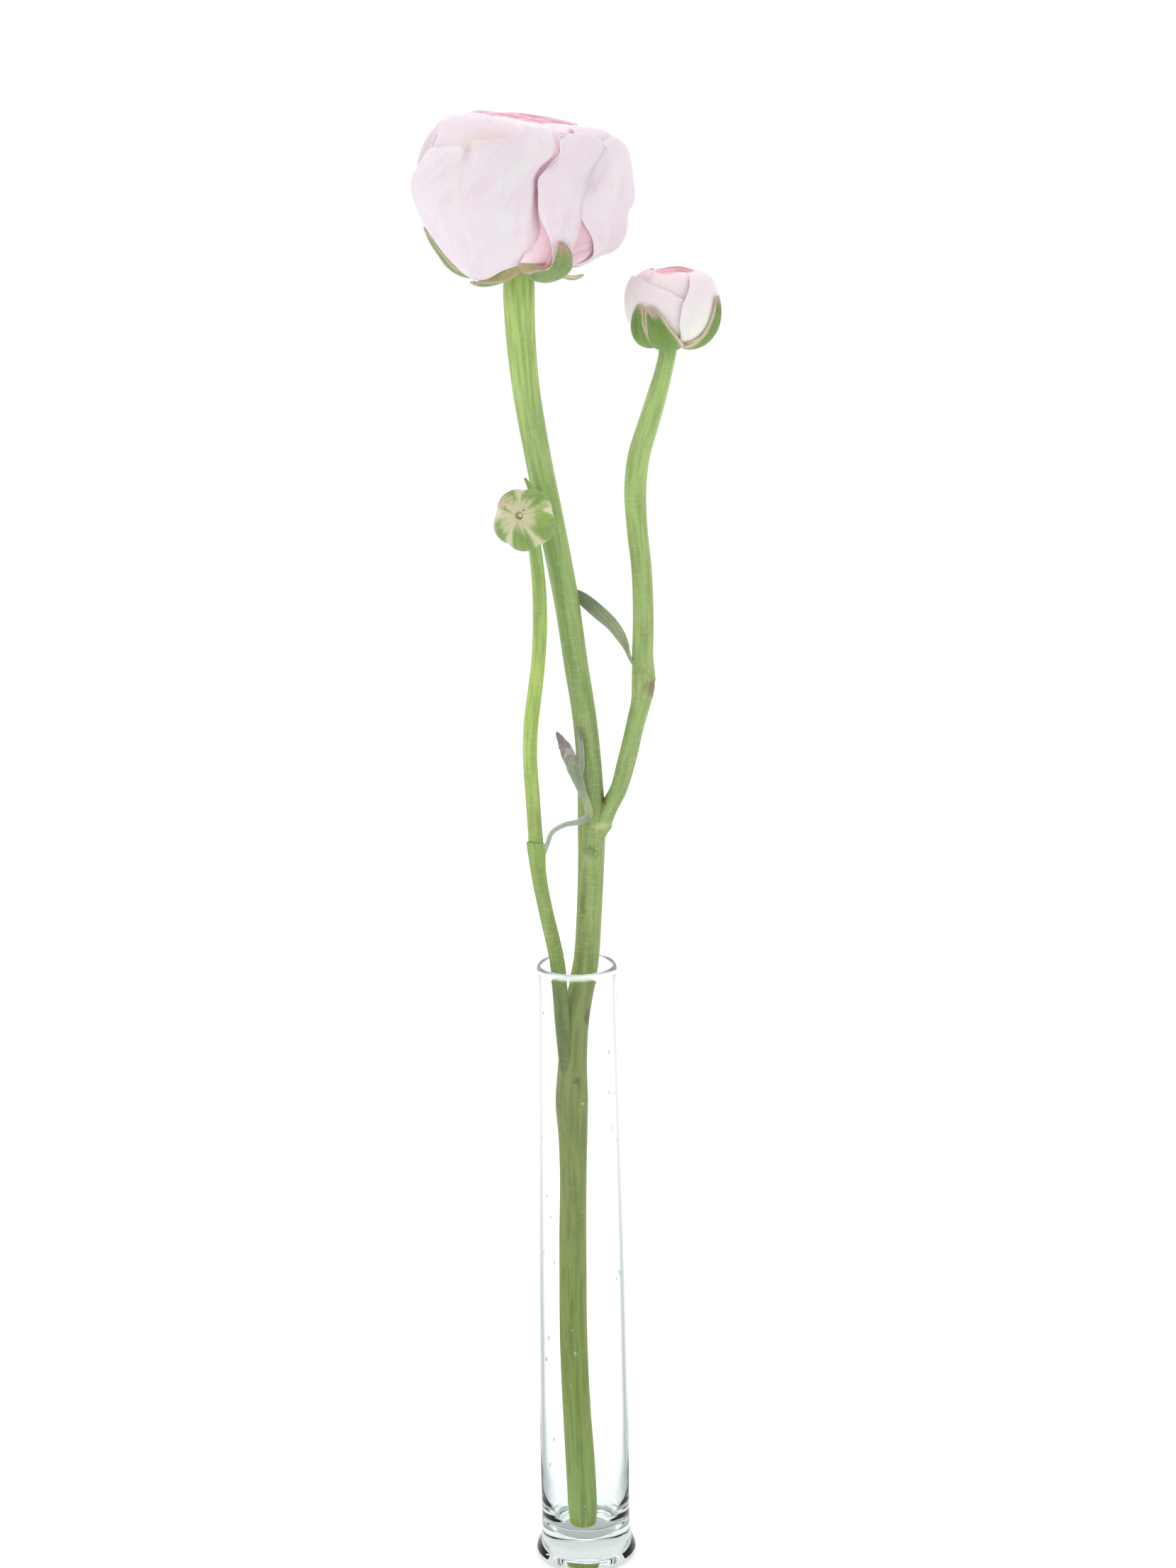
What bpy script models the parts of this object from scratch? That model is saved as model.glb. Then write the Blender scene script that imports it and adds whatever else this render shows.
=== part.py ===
import math

import bmesh
import bpy
import numpy as np
from mathutils import Matrix, Vector

for old in list(bpy.data.objects):
    bpy.data.objects.remove(old, do_unlink=True)

# Lengths below are in millimetres; everything is turned into metres as its mesh is written.
MM = 0.001

# Vase
VASE_HEIGHT = 192.0
RIM_RADIUS = 12.0
TUBE_RADIUS = 13.8
FOOT_RADIUS = 15.5
WALL = 1.35
FLOOR = 7.0
VASE_SIDES = 36

# Between two pieces that touch: more for a flower on its stem, whose end isn't quite square to it,
# and where a sheet of flat facets lies on a round ball
GAP = 0.3
SEAT_GAP = 0.55
BALL_GAP = 0.5

# Blades
PETAL_THICKNESS = 0.8
SEPAL_THICKNESS = 0.8
LEAF_THICKNESS = 0.7

# Stems: x, y, z and radius of the points that each one grows through, from its foot upward.
MAIN_STEM = [
    (-1.0, 0.0, FLOOR + GAP, 4.6),
    (-1.0, 0.0, 12, 4.6),
    (-1.3, 0.4, 25, 4.6),
    (-2.2, 1.0, 45, 4.3),
    (-2.9, 1.8, 72, 4.25),
    (-2.7, 2.5, 100, 4.2),
    (-2.2, 3.2, 125, 4.15),
    (-2.1, 3.9, 137, 4.5),
    (-2.3, 4.2, 147, 5.0),
    (-1.9, 4.6, 158, 4.5),
    (-0.8, 5.0, 172, 4.2),
    (0.8, 5.4, 181, 4.0),
    (2.6, 5.6, 190, 3.8),
    (4.0, 5.8, 207, 3.75),
    (4.7, 6.0, 221, 3.9),
    (5.0, 6.0, 232, 4.1),
    (4.7, 6.0, 248, 3.75),
    (3.4, 6.0, 266, 3.55),
    (1.4, 6.0, 280, 3.55),
    (-1.5, 6.0, 302, 3.65),
    (-5.6, 6.0, 325, 3.8),
    (-9.2, 6.0, 345, 3.75),
    (-11.8, 5.6, 362, 3.85),
    (-13.1, 5.0, 380, 4.25),
    (-13.2, 4.6, 391, 4.45),
    (-12.9, 4.3, 398.2, 4.1),
]
RIGHT_SHOOT = [
    (5.3, 6.0, 227, 2.4),
    (7.5, 5.8, 232.5, 2.9),
    (10.2, 5.0, 238.5, 2.65),
    (13.0, 4.0, 244, 2.55),
    (15.3, 3.0, 252, 2.7),
    (18.6, 2.1, 265.5, 2.7),
    (20.0, 2.0, 271, 2.9),
    (20.7, 2.0, 277, 3.35),
    (20.6, 2.0, 284, 3.1),
    (20.9, 2.0, 294, 3.05),
    (20.5, 2.0, 311, 2.95),
    (19.4, 2.0, 322, 3.0),
    (19.0, 2.0, 333, 3.15),
    (20.2, 2.0, 343, 3.15),
    (22.8, 2.0, 351.5, 3.0),
    (25.3, 2.0, 359.5, 2.8),
    (27.6, 2.0, 367.5, 2.5),
    (28.6, 1.9, 372.4, 2.5),
    (28.75, 1.8, 374.2, 2.6),
]
LEFT_SHOOT = [
    (-2.3, 3.8, 149, 2.6),
    (-3.4, 2.8, 160, 2.5),
    (-4.6, 1.0, 174, 2.35),
    (-5.7, -0.5, 192, 2.2),
    (-9.1, -1.2, 210, 2.15),
    (-10.6, -1.4, 219, 2.25),
    (-11.2, -1.5, 225.5, 2.6),
    (-11.5, -1.5, 231, 2.2),
    (-12.1, -1.5, 244, 2.1),
    (-12.6, -1.5, 257, 2.1),
    (-12.1, -1.5, 266, 2.15),
    (-10.9, -1.5, 274.5, 2.1),
    (-9.8, -1.5, 283, 2.05),
    (-9.0, -1.5, 295, 2.05),
    (-9.1, -1.2, 307, 1.95),
    (-9.7, -0.4, 314, 1.85),
    (-10.3, 0.1, 319, 1.85),
    (-10.6, -0.5, 322.2, 1.85),
    (-10.8, -1.9, 324.1, 1.85),
    (-10.95, -3.2, 324.6, 1.9),
    (-11.1, -4.2, 324.8, 1.9),
]

# A vector along the axis of each flower, which sits on the end of its stem.
BLOOM_AXIS = (0.06, -0.05, 1.0)
RIGHT_BUD_AXIS = (0.05, -0.1, 1.0)
SMALL_BUD_AXIS = (-0.15, -0.95, 0.26)

# Petals are set on a cup: radius and height along its outermost and its innermost meridian.
BLOOM_CUP = {
    "outer": [
        (3.0, 2.6), (5.5, 2.2), (8, 1.0), (12, -0.9), (16.5, -1.0), (20.5, 1.2), (24.2, 5.4), (27.6, 11),
        (29.8, 17.5), (30.0, 24), (28.4, 30.5), (24.5, 35.8), (19, 39), (12.5, 40.6),
    ],
    "inner": [(3.0, 6), (6.5, 8), (9.5, 13), (11, 20), (10.5, 27), (8, 32.5), (4.5, 35.8), (2, 37)],
    "depth": 19.5,
}
BLOOM_CORE = [(0, 1.3), (4.6, 1.3), (5.4, 4), (7.6, 9), (10.2, 16), (10.8, 22), (9.6, 29), (6, 34), (0, 36)]

# Outer petals of the bloom. An edge is a list of (share of the way up the cup, degrees round it),
# counted from the front towards the right. Depth is millimetres inward from the outer meridian.
FRONT_LEFT_PETAL = {
    "left": [(0, -70), (0.2, -100), (0.4, -106), (0.6, -92), (0.79, -60)],
    "right": [(0, -8), (0.2, 0), (0.4, 6), (0.55, 4), (0.66, 8), (0.79, 17)],
    "depth": -1.0, "droop": 1.6, "lip": 1.6,
}
OUTER_PETALS = [
    FRONT_LEFT_PETAL,
    {
        "left": [(0, 18), (0.2, 24), (0.38, 18), (0.56, 9), (0.66, 11), (0.74, 21), (0.87, 28)],
        "right": [(0, 40), (0.2, 33), (0.45, 36), (0.6, 70), (0.75, 80), (0.87, 62)],
        "depth": -0.2,
    },
    {
        "left": [(0, 70), (0.33, 66), (0.45, 42), (0.56, 31), (0.64, 35), (0.75, 52), (0.85, 66)],
        "right": [(0, 95), (0.2, 122), (0.45, 132), (0.65, 128), (0.85, 112)],
        "depth": -1.0,
    },
    {
        "left": [(0, 120), (0.25, 118), (0.5, 122), (0.84, 138)],
        "right": [(0, 190), (0.25, 206), (0.5, 210), (0.84, 192)],
        "depth": 0.0,
    },
    {
        "left": [(0, 195), (0.25, 196), (0.5, 190), (0.86, 206)],
        "right": [(0, 262), (0.25, 272), (0.5, 290), (0.7, 300), (0.86, 292)],
        "depth": 0.9,
    },
    {
        "left": [(0, -95), (0.3, -104), (0.6, -98), (0.94, -60)],
        "right": [(0, -30), (0.3, 0), (0.6, 16), (0.94, 10)],
        "depth": 0.6, "rise": 1.0,
    },
    {
        "left": [(0, -30), (0.25, -30), (0.6, -30), (0.93, -10)],
        "right": [(0, 34), (0.25, 50), (0.6, 66), (0.93, 56)],
        "depth": 1.9,
    },
    {
        "left": [(0, 44), (0.3, 38), (0.6, 42), (0.93, 60)],
        "right": [(0, 100), (0.3, 112), (0.6, 118), (0.93, 106)],
        "depth": 1.05,
    },
]
INNER_PETALS = 8
GOLDEN_TURN = 137.5

SEPAL_OUTLINE = [(0, 0.4), (0.3, 0.85), (0.55, 1.0), (0.8, 0.7), (1, 0.16)]

# Sepals: degrees round the cup (of the root and of the tip where they differ), radius and height along
# the middle, greatest half width.
BLOOM_SEPALS = [
    (-98, [(2, 0.6), (5, 0.5), (8, -1.2), (12, -3.2), (17, -3.4), (22.2, -0.3), (26.2, 4.3), (29.8, 10)], 6.5),
    (-32, [(2, 0.6), (5, 0.5), (8, -1.8), (12, -4.4), (15, -5.3), (18.5, -5.3)], 6.5),
    (29, [(2, 0.6), (5, 0.5), (8, -1.7), (12, -4.3), (16.5, -5.2), (20.9, -3.2), (24.0, 1.0), (25.2, 5)], 6.8),
    (105, [(2, 0.6), (5, 0.5), (8, -1.2), (12, -3.2), (17, -3.8), (20, -2.4)], 6.5),
    (178, [(2, 0.6), (5, 0.5), (8, -1.2), (12, -3.2), (17, -3.2), (21.8, -0.4), (25.4, 3.8)], 6.5),
]

RIGHT_BUD_CUP = {
    "outer": [
        (1.6, 2.2), (4.4, 1.7), (8.6, 2.9), (11.6, 6.2), (12.7, 10.6), (12.4, 15), (10.6, 18.5), (7.4, 20.5),
        (4.4, 21.2),
    ],
    "inner": [(1.6, 4), (3.2, 5), (4.6, 9), (5.2, 12.6), (4.6, 15.8), (3, 18), (1.6, 18.9), (0.8, 19.2)],
    "depth": 6.8,
}
RIGHT_BUD_CORE = [(0, 1.4), (2.8, 1.4), (3.4, 4), (4.9, 9), (5.2, 12.6), (4.3, 16.2), (2.5, 18.4), (0, 19)]
RIGHT_BUD_PETALS = [
    {
        "left": [(0, -70), (0.3, -104), (0.6, -112), (0.82, -84)],
        "right": [(0, 0), (0.3, 16), (0.5, 17), (0.66, -4), (0.82, -50)],
        "depth": 0.0,
    },
    {
        "left": [(0, 26), (0.3, 16), (0.5, 10), (0.7, 16), (0.93, 28)],
        "right": [(0, 90), (0.3, 120), (0.6, 124), (0.93, 100)],
        "depth": -0.7,
    },
    {
        "left": [(0, 110), (0.3, 104), (0.6, 100), (0.92, 130)],
        "right": [(0, 190), (0.3, 212), (0.6, 216), (0.92, 196)],
        "depth": 0.4,
    },
    {
        "left": [(0, 190), (0.3, 188), (0.6, 196), (0.95, 220)],
        "right": [(0, 262), (0.3, 284), (0.6, 296), (0.95, 290)],
        "depth": 1.3,
    },
    {
        "left": [(0, -50), (0.3, -60), (0.6, -70), (0.96, -60)],
        "right": [(0, 10), (0.3, 40), (0.6, 44), (0.96, 36)],
        "depth": 1.1,
    },
]
RIGHT_BUD_INNER_PETALS = 3
RIGHT_BUD_SEPALS = [
    (-46, [(1, 0.5), (3, 0.4), (5.6, 0.1), (10.2, 1.5), (13.3, 5.6), (13.9, 10), (13.8, 12.2)], 3.5),
    ((-3, -21), [(1, 0.5), (3, 0.4), (5.6, -0.1), (10.2, 1.1), (13.4, 5.2), (14.0, 9.6), (13.9, 12)], 4.7),
    (66, [(1, 0.5), (3, 0.4), (5.8, -0.3), (10.6, 1.0), (13.9, 5.4), (14.7, 10), (14.5, 14.6)], 4.3),
    (134, [(1, 0.5), (3, 0.4), (5.8, -0.1), (10.6, 1.1), (13.8, 5.4), (14.5, 11.4)], 4.3),
    (212, [(1, 0.5), (3, 0.4), (5.8, 0.2), (10.2, 1.5), (13.2, 5.6), (14.1, 11.4)], 4.3),
]

SMALL_BUD_RADIUS = 8.1
SMALL_BUD_SEPALS = 5


def material(name, colour, roughness, alpha=1.0):
    mat = bpy.data.materials.new(name)
    mat.use_nodes = True
    shader = mat.node_tree.nodes["Principled BSDF"]
    shader.inputs["Base Color"].default_value = (*colour, 1)
    shader.inputs["Roughness"].default_value = roughness
    shader.inputs["Metallic"].default_value = 0
    shader.inputs["Alpha"].default_value = alpha
    return mat


def along(points, t):
    """Points on the smooth curve through the given ones, t running from 0 to 1 by chord length."""
    points = np.asarray(points, float)
    steps = np.linalg.norm(np.diff(points, axis=0), axis=1)
    knots = np.concatenate([[0], np.cumsum(steps)]) / steps.sum()
    return through(knots, points, t)


def through(knots, values, t):
    """Smooth interpolation of values that are given at rising knots."""
    knots = np.asarray(knots, float)
    values = np.asarray(values, float)
    t = np.clip(np.asarray(t, float), knots[0], knots[-1])
    slopes = np.gradient(values, knots, axis=0)
    i = np.clip(np.searchsorted(knots, t, "right") - 1, 0, len(knots) - 2)
    width = knots[i + 1] - knots[i]
    s = (t - knots[i]) / width
    if values.ndim > 1:
        width, s = width[..., None], s[..., None]
    start = (1 + 2 * s) * (1 - s) ** 2 * values[i] + s * (1 - s) ** 2 * width * slopes[i]
    end = s * s * (3 - 2 * s) * values[i + 1] + s * s * (s - 1) * width * slopes[i + 1]
    return start + end


def add_object(name, points, faces, mat=None):
    mesh = bpy.data.meshes.new(name)
    mesh.from_pydata([Vector(p) * MM for p in points], [], faces)
    if mat:
        mesh.materials.append(mat)
    mesh.shade_smooth()
    obj = bpy.data.objects.new(name, mesh)
    bpy.context.scene.collection.objects.link(obj)
    return obj


def turned(name, profile, sides, mat=None):
    """A closed solid turned round Z. Its profile runs from the axis at the bottom, up and back to it."""
    points = [(0, 0, profile[0][1])]
    for radius, height in profile[1:-1]:
        for k in range(sides):
            turn = 2 * math.pi * k / sides
            points.append((radius * math.cos(turn), radius * math.sin(turn), height))
    points.append((0, 0, profile[-1][1]))
    last = len(points) - 1
    rings = len(profile) - 2
    faces = []
    for k in range(sides):
        after = (k + 1) % sides
        faces.append((0, 1 + after, 1 + k))
        faces.append((last, last - sides + k, last - sides + after))
        for ring in range(rings - 1):
            low, high = 1 + ring * sides, 1 + (ring + 1) * sides
            faces.append((low + k, low + after, high + after, high + k))
    return add_object(name, points, faces, mat)


def tube(name, route, rings, sides):
    """A round stem swept along a smooth route of (x, y, z, radius) points, with flat ends."""
    share = np.linspace(0, 1, rings)
    samples = along(route, share)
    centres, radii = samples[:, :3], samples[:, 3]
    tangents = (along(route, share + 0.002) - along(route, share - 0.002))[:, :3]
    tangents /= np.linalg.norm(tangents, axis=1)[:, None]
    across = np.array([1.0, 0.0, 0.0])
    points = []
    for centre, radius, tangent in zip(centres, radii, tangents):
        across = across - tangent * across.dot(tangent)
        across /= np.linalg.norm(across)
        beside = np.cross(tangent, across)
        for k in range(sides):
            turn = 2 * math.pi * k / sides
            points.append(centre + radius * (math.cos(turn) * across + math.sin(turn) * beside))
    faces = [tuple(reversed(range(sides))), tuple(range((rings - 1) * sides, rings * sides))]
    for ring in range(rings - 1):
        for k in range(sides):
            low, high = ring * sides, (ring + 1) * sides
            after = (k + 1) % sides
            faces.append((low + k, low + after, high + after, high + k))
    return add_object(name, points, faces)


def sheet_solid(name, middle, thickness):
    """A thin closed solid round a grid of points. Both faces are split into the same triangles."""
    rows, columns = middle.shape[:2]
    across = np.gradient(middle, axis=1)
    up = np.gradient(middle, axis=0)
    normals = np.cross(across, up)
    normals /= np.linalg.norm(normals, axis=2)[..., None] + 1e-12
    front = (middle + normals * thickness / 2).reshape(-1, 3)
    back = (middle - normals * thickness / 2).reshape(-1, 3)
    points = np.concatenate([front, back])
    half = rows * columns
    faces = []
    for r in range(rows - 1):
        for c in range(columns - 1):
            a = r * columns + c
            b, d, e = a + 1, a + columns, a + columns + 1
            faces += [(a, b, e), (a, e, d)]
            faces += [(a + half, e + half, b + half), (a + half, d + half, e + half)]
    border = [c for c in range(columns)]
    border += [r * columns + columns - 1 for r in range(1, rows)]
    border += [(rows - 1) * columns + c for c in reversed(range(columns - 1))]
    border += [r * columns for r in reversed(range(1, rows - 1))]
    for a, b in zip(border, border[1:] + border[:1]):
        faces += [(a, a + half, b + half), (a, b + half, b)]
    return add_object(name, points, faces)


def grid(rows, columns):
    """Shares up (0 to 1) and across (-1 to 1) for every point of a sheet."""
    return np.meshgrid(np.linspace(0, 1, rows), np.linspace(-1, 1, columns), indexing="ij")


def cup_point(cup, depth, up, turn):
    """Points of a cup: the two meridians mixed by depth, turned by degrees from the front to the right."""
    share = (np.asarray(depth) / cup["depth"])[..., None]
    meridian = along(cup["outer"], up) * (1 - share) + along(cup["inner"], up) * share
    angle = np.radians(turn)
    radius, height = meridian[..., 0], meridian[..., 1]
    return np.stack([radius * np.sin(angle), -radius * np.cos(angle), height], axis=-1)


def petal(name, cup, shape, rows, columns):
    v, u = grid(rows, columns)
    top = shape["left"][-1][0]
    up = v * top * (1 - shape.get("rounding", 0.1) * np.abs(u) ** 3)
    left = through(*zip(*shape["left"]), v * top)
    right = through(*zip(*shape["right"]), v * top)
    turn = left + (right - left) * (u + 1) / 2
    lift = shape.get("lip", 0.0) * np.clip((v - 0.86) / 0.14, 0, 1) ** 2
    depth = np.full_like(v, shape["depth"]) - lift
    middle = cup_point(cup, depth, up, turn)
    droop = shape.get("droop", 0.0) * np.exp(-(((up - 0.2) / 0.11) ** 2)) * np.exp(-(((turn + 28) / 40) ** 2))
    middle[..., 2] += shape.get("rise", 0.0) * v**3 - droop
    return sheet_solid(name, middle, PETAL_THICKNESS)


def spiral_petals(name, cup, count, first_depth, last_depth, half_width, grid_size):
    """Inner petals, each one golden turn on from the last and a little further in."""
    pieces = []
    for k in range(count):
        share = k / max(count - 1, 1)
        middle = 40 + k * GOLDEN_TURN
        half = half_width * (1 - 0.12 * share)
        shape = {
            "left": [(0, middle - 0.5 * half), (0.3, middle - half), (0.7, middle - half), (0.96, middle - 0.6 * half)],
            "right": [(0, middle + 0.5 * half), (0.3, middle + half), (0.7, middle + half), (0.96, middle + 0.6 * half)],
            "depth": first_depth + (last_depth - first_depth) * share,
        }
        pieces.append(petal(f"{name}_{k}", cup, shape, *grid_size))
    return pieces


def sepal(name, turn, route, half_width, bulge=0.0, size=(8, 5), outline=SEPAL_OUTLINE):
    """A pointed sepal whose middle follows a route of (radius, height) and which wraps round the axis."""
    v, u = grid(*size)
    meridian = along(route, v)
    width = half_width * through(*zip(*outline), v)
    radius = meridian[..., 0] + bulge * (1 - u**2) * np.sin(math.pi * v)
    height = meridian[..., 1]
    root, tip = turn if isinstance(turn, tuple) else (turn, turn)
    angle = np.radians(root + (tip - root) * v**2) + u * width / np.maximum(radius, width)
    middle = np.stack([radius * np.sin(angle), -radius * np.cos(angle), height], axis=-1)
    return sheet_solid(name, middle, SEPAL_THICKNESS)


def ribbon(name, route, columns=4):
    """A leaf swept along (x, y, z, half width, facing degrees) points, slightly channelled."""
    samples = along([p[:3] for p in route], np.linspace(0, 1, len(route) * 2))
    knots = np.linspace(0, 1, len(route))
    share = np.linspace(0, 1, len(samples))
    width = through(knots, [p[3] for p in route], share)
    facing = np.radians(through(knots, [p[4] for p in route], share))
    tangent = np.gradient(samples, axis=0)
    tangent /= np.linalg.norm(tangent, axis=1)[:, None]
    normal = np.stack([np.sin(facing), -np.cos(facing), np.zeros_like(facing)], axis=-1)
    across = np.cross(tangent, normal)
    across /= np.linalg.norm(across, axis=1)[:, None]
    outward = np.cross(across, tangent)
    u = np.linspace(-1, 1, columns)[None, :, None]
    channel = 0.18 * width[:, None, None] * (1 - u**2)
    middle = samples[:, None] + across[:, None] * u * width[:, None, None] - outward[:, None] * channel
    return sheet_solid(name, middle, LEAF_THICKNESS)


def only_main_body(mesh):
    """Drops scraps and fills hollows that a union leaves: only the largest shell is kept."""
    bm = bmesh.new()
    bm.from_mesh(mesh)
    unseen = set(bm.faces)
    shells = []
    while unseen:
        shell = {unseen.pop()}
        front = list(shell)
        while front:
            for edge in front.pop().edges:
                for face in edge.link_faces:
                    if face in unseen:
                        unseen.remove(face)
                        shell.add(face)
                        front.append(face)
        shells.append(shell)
    main = max(shells, key=len)
    scraps = [face for shell in shells if shell is not main for face in shell]
    bmesh.ops.delete(bm, geom=scraps, context="FACES")
    bmesh.ops.triangulate(bm, faces=bm.faces)
    bm.to_mesh(mesh)
    bm.free()


def fuse(name, pieces, mat, parent=None, solver="MANIFOLD"):
    """One solid from pieces that run into each other."""
    group = bpy.data.collections.new(name + "_pieces")
    bpy.context.scene.collection.children.link(group)
    first, rest = pieces[0], pieces[1:]
    for piece in rest:
        bpy.context.scene.collection.objects.unlink(piece)
        group.objects.link(piece)
    union = first.modifiers.new("union", "BOOLEAN")
    union.operation = "UNION"
    union.operand_type = "COLLECTION"
    union.collection = group
    union.solver = solver
    graph = bpy.context.evaluated_depsgraph_get()
    mesh = bpy.data.meshes.new_from_object(first.evaluated_get(graph))
    first.modifiers.clear()
    first.data = mesh
    for piece in rest:
        bpy.data.objects.remove(piece, do_unlink=True)
    bpy.data.collections.remove(group)
    only_main_body(mesh)
    mesh.name = first.name = name
    mesh.materials.clear()
    mesh.materials.append(mat)
    mesh.shade_smooth()
    mesh.set_sharp_from_angle(angle=math.radians(50))
    first.parent = parent
    return first


def axis_empty(name, route, axis):
    """An empty at the end of a stem: Z along the flower's axis, X to the right, -Y front (or down, if it nods)."""
    upward = Vector(axis).normalized()
    base = Vector(route[-1][:3]) + upward * SEAT_GAP
    behind = Vector((0, 1, 0)) if abs(upward.y) < 0.9 else Vector((0, 0, 1))
    right = behind.cross(upward).normalized()
    turn = Matrix((right, upward.cross(right), upward)).transposed()
    empty = bpy.data.objects.new(name, None)
    empty.matrix_world = Matrix.Translation(base * MM) @ turn.to_4x4()
    bpy.context.scene.collection.objects.link(empty)
    return empty


def make_vase(mat):
    lip = [
        (RIM_RADIUS - WALL / 2 + 0.8 * math.cos(a), VASE_HEIGHT - 1.6 + 1.6 * math.sin(a))
        for a in np.radians([160, 125, 90, 55, 20])
    ]
    inner = [(0, FLOOR), (6.4, FLOOR + 0.05), (9.2, 8.9), (11.4, 12.6), (12.3, 18), (12.4, 30)]
    inner += [(12.3, 60), (12.0, 95), (11.5, 130), (10.95, 165), (10.65, 185)]
    outer = [(RIM_RADIUS, 185), (12.3, 165), (12.85, 130), (13.35, 95), (13.65, 60)]
    outer += [(TUBE_RADIUS, 30), (TUBE_RADIUS, 9), (14.0, 5.5), (14.7, 3.9)]
    outer += [(FOOT_RADIUS, 2.6), (FOOT_RADIUS, 1.0), (FOOT_RADIUS - 0.7, 0), (0, 0)]
    profile = inner + lip + outer
    mesh = bpy.data.meshes.new("vase")
    points = [Vector((radius, 0, height)) * MM for radius, height in profile]
    mesh.from_pydata(points, [(k, k + 1) for k in range(len(points) - 1)], [])
    mesh.materials.append(mat)
    vase = bpy.data.objects.new("vase", mesh)
    bpy.context.scene.collection.objects.link(vase)
    screw = vase.modifiers.new("turn", "SCREW")
    screw.steps = screw.render_steps = VASE_SIDES
    screw.use_merge_vertices = True
    screw.merge_threshold = 0.00001
    screw.use_smooth_shade = True
    return vase


def make_stem(mat):
    pieces = [
        tube("main_stem", MAIN_STEM, 44, 12),
        tube("right_shoot", RIGHT_SHOOT, 28, 9),
        tube("left_shoot", LEFT_SHOOT, 34, 8),
    ]
    return fuse("flower_stem", pieces, mat)


def make_leaves(mat, grey):
    folded = [
        ribbon("fold_leaf", [
            (-8.0, -2.4, 228.6, 0.8, 20), (-6.6, -2.6, 233.0, 0.9, 10), (-3.0, -1.4, 235.0, 1.1, 0),
            (1.6, -0.4, 235.8, 1.3, 0), (4.2, 0.4, 237.4, 1.4, 0), (4.0, 0.4, 240.2, 1.3, 0),
            (2.4, 0.6, 244.6, 1.6, 0), (0.9, 0.4, 249.2, 2.1, 0), (-0.8, 0.0, 254.2, 2.3, 0),
            (-2.8, -0.6, 259.0, 1.7, 0), (-4.7, -1.4, 263.0, 0.4, 0),
        ]),
        ribbon("fold_lobe", [
            (1.3, 0.5, 247.6, 0.7, 0), (2.1, 0.9, 251.0, 1.0, 0), (2.4, 1.2, 255.0, 0.9, 0),
            (2.2, 1.2, 259.4, 0.8, 0), (1.9, 1.0, 263.2, 0.35, 0),
        ]),
    ]
    fuse("folded_bract", folded, grey)
    arching = ribbon("arching_leaf", [
        (16.7, 0.5, 283.4, 1.1, -50), (15.2, 1.0, 289.0, 1.6, -25), (12.0, 2.6, 293.8, 1.9, -15),
        (8.2, 5.2, 297.0, 2.2, -20), (4.6, 8.4, 299.6, 2.2, -20), (1.2, 10.9, 301.6, 1.7, -10),
        (-2.2, 11.6, 303.0, 0.4, 0),
    ])
    arching.data.materials.append(mat)
    small = ribbon("small_bract", [
        (-10.0, 2.9, 320.4, 0.9, 0), (-9.9, 2.4, 325.6, 1.4, 0), (-10.1, 1.4, 331.0, 1.5, 0),
        (-11.1, 0.6, 334.6, 1.0, 0), (-12.5, 0.0, 337.2, 0.35, 0),
    ])
    small.data.materials.append(mat)


def make_bloom(petals, green):
    base = axis_empty("bloom_base", MAIN_STEM, BLOOM_AXIS)
    pieces = [turned("bloom_core", BLOOM_CORE, 18)]
    for k, shape in enumerate(OUTER_PETALS):
        size = (11, 10) if shape is FRONT_LEFT_PETAL else (9, 8)
        pieces.append(petal(f"outer_petal_{k}", BLOOM_CUP, shape, *size))
    pieces += spiral_petals("inner_petal", BLOOM_CUP, INNER_PETALS, 3.0, 15.0, 78, (6, 6))
    fuse("bloom_petals", pieces, petals, base)
    disc = [(0, 0), (4.2, 0), (4.8, 0.5), (0, 0.9)]
    pieces = [turned("sepal_disc", disc, 16)]
    pieces += [sepal(f"sepal_{k}", *shape) for k, shape in enumerate(BLOOM_SEPALS)]
    fuse("bloom_sepals", pieces, green, base)


def make_right_bud(petals, green):
    base = axis_empty("right_bud_base", RIGHT_SHOOT, RIGHT_BUD_AXIS)
    pieces = [turned("right_bud_core", RIGHT_BUD_CORE, 14)]
    for k, shape in enumerate(RIGHT_BUD_PETALS):
        pieces.append(petal(f"bud_petal_{k}", RIGHT_BUD_CUP, shape, 7, 6))
    pieces += spiral_petals(
        "bud_inner_petal", RIGHT_BUD_CUP, RIGHT_BUD_INNER_PETALS, 2.6, 5.0, 78, (5, 5)
    )
    fuse("right_bud_petals", pieces, petals, base)
    disc = [(0, 0), (2.5, 0), (2.9, 0.5), (0, 0.9)]
    pieces = [turned("bud_sepal_disc", disc, 14)]
    pieces += [sepal(f"bud_sepal_{k}", *shape, bulge=0.7) for k, shape in enumerate(RIGHT_BUD_SEPALS)]
    fuse("right_bud_sepals", pieces, green, base)


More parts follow.
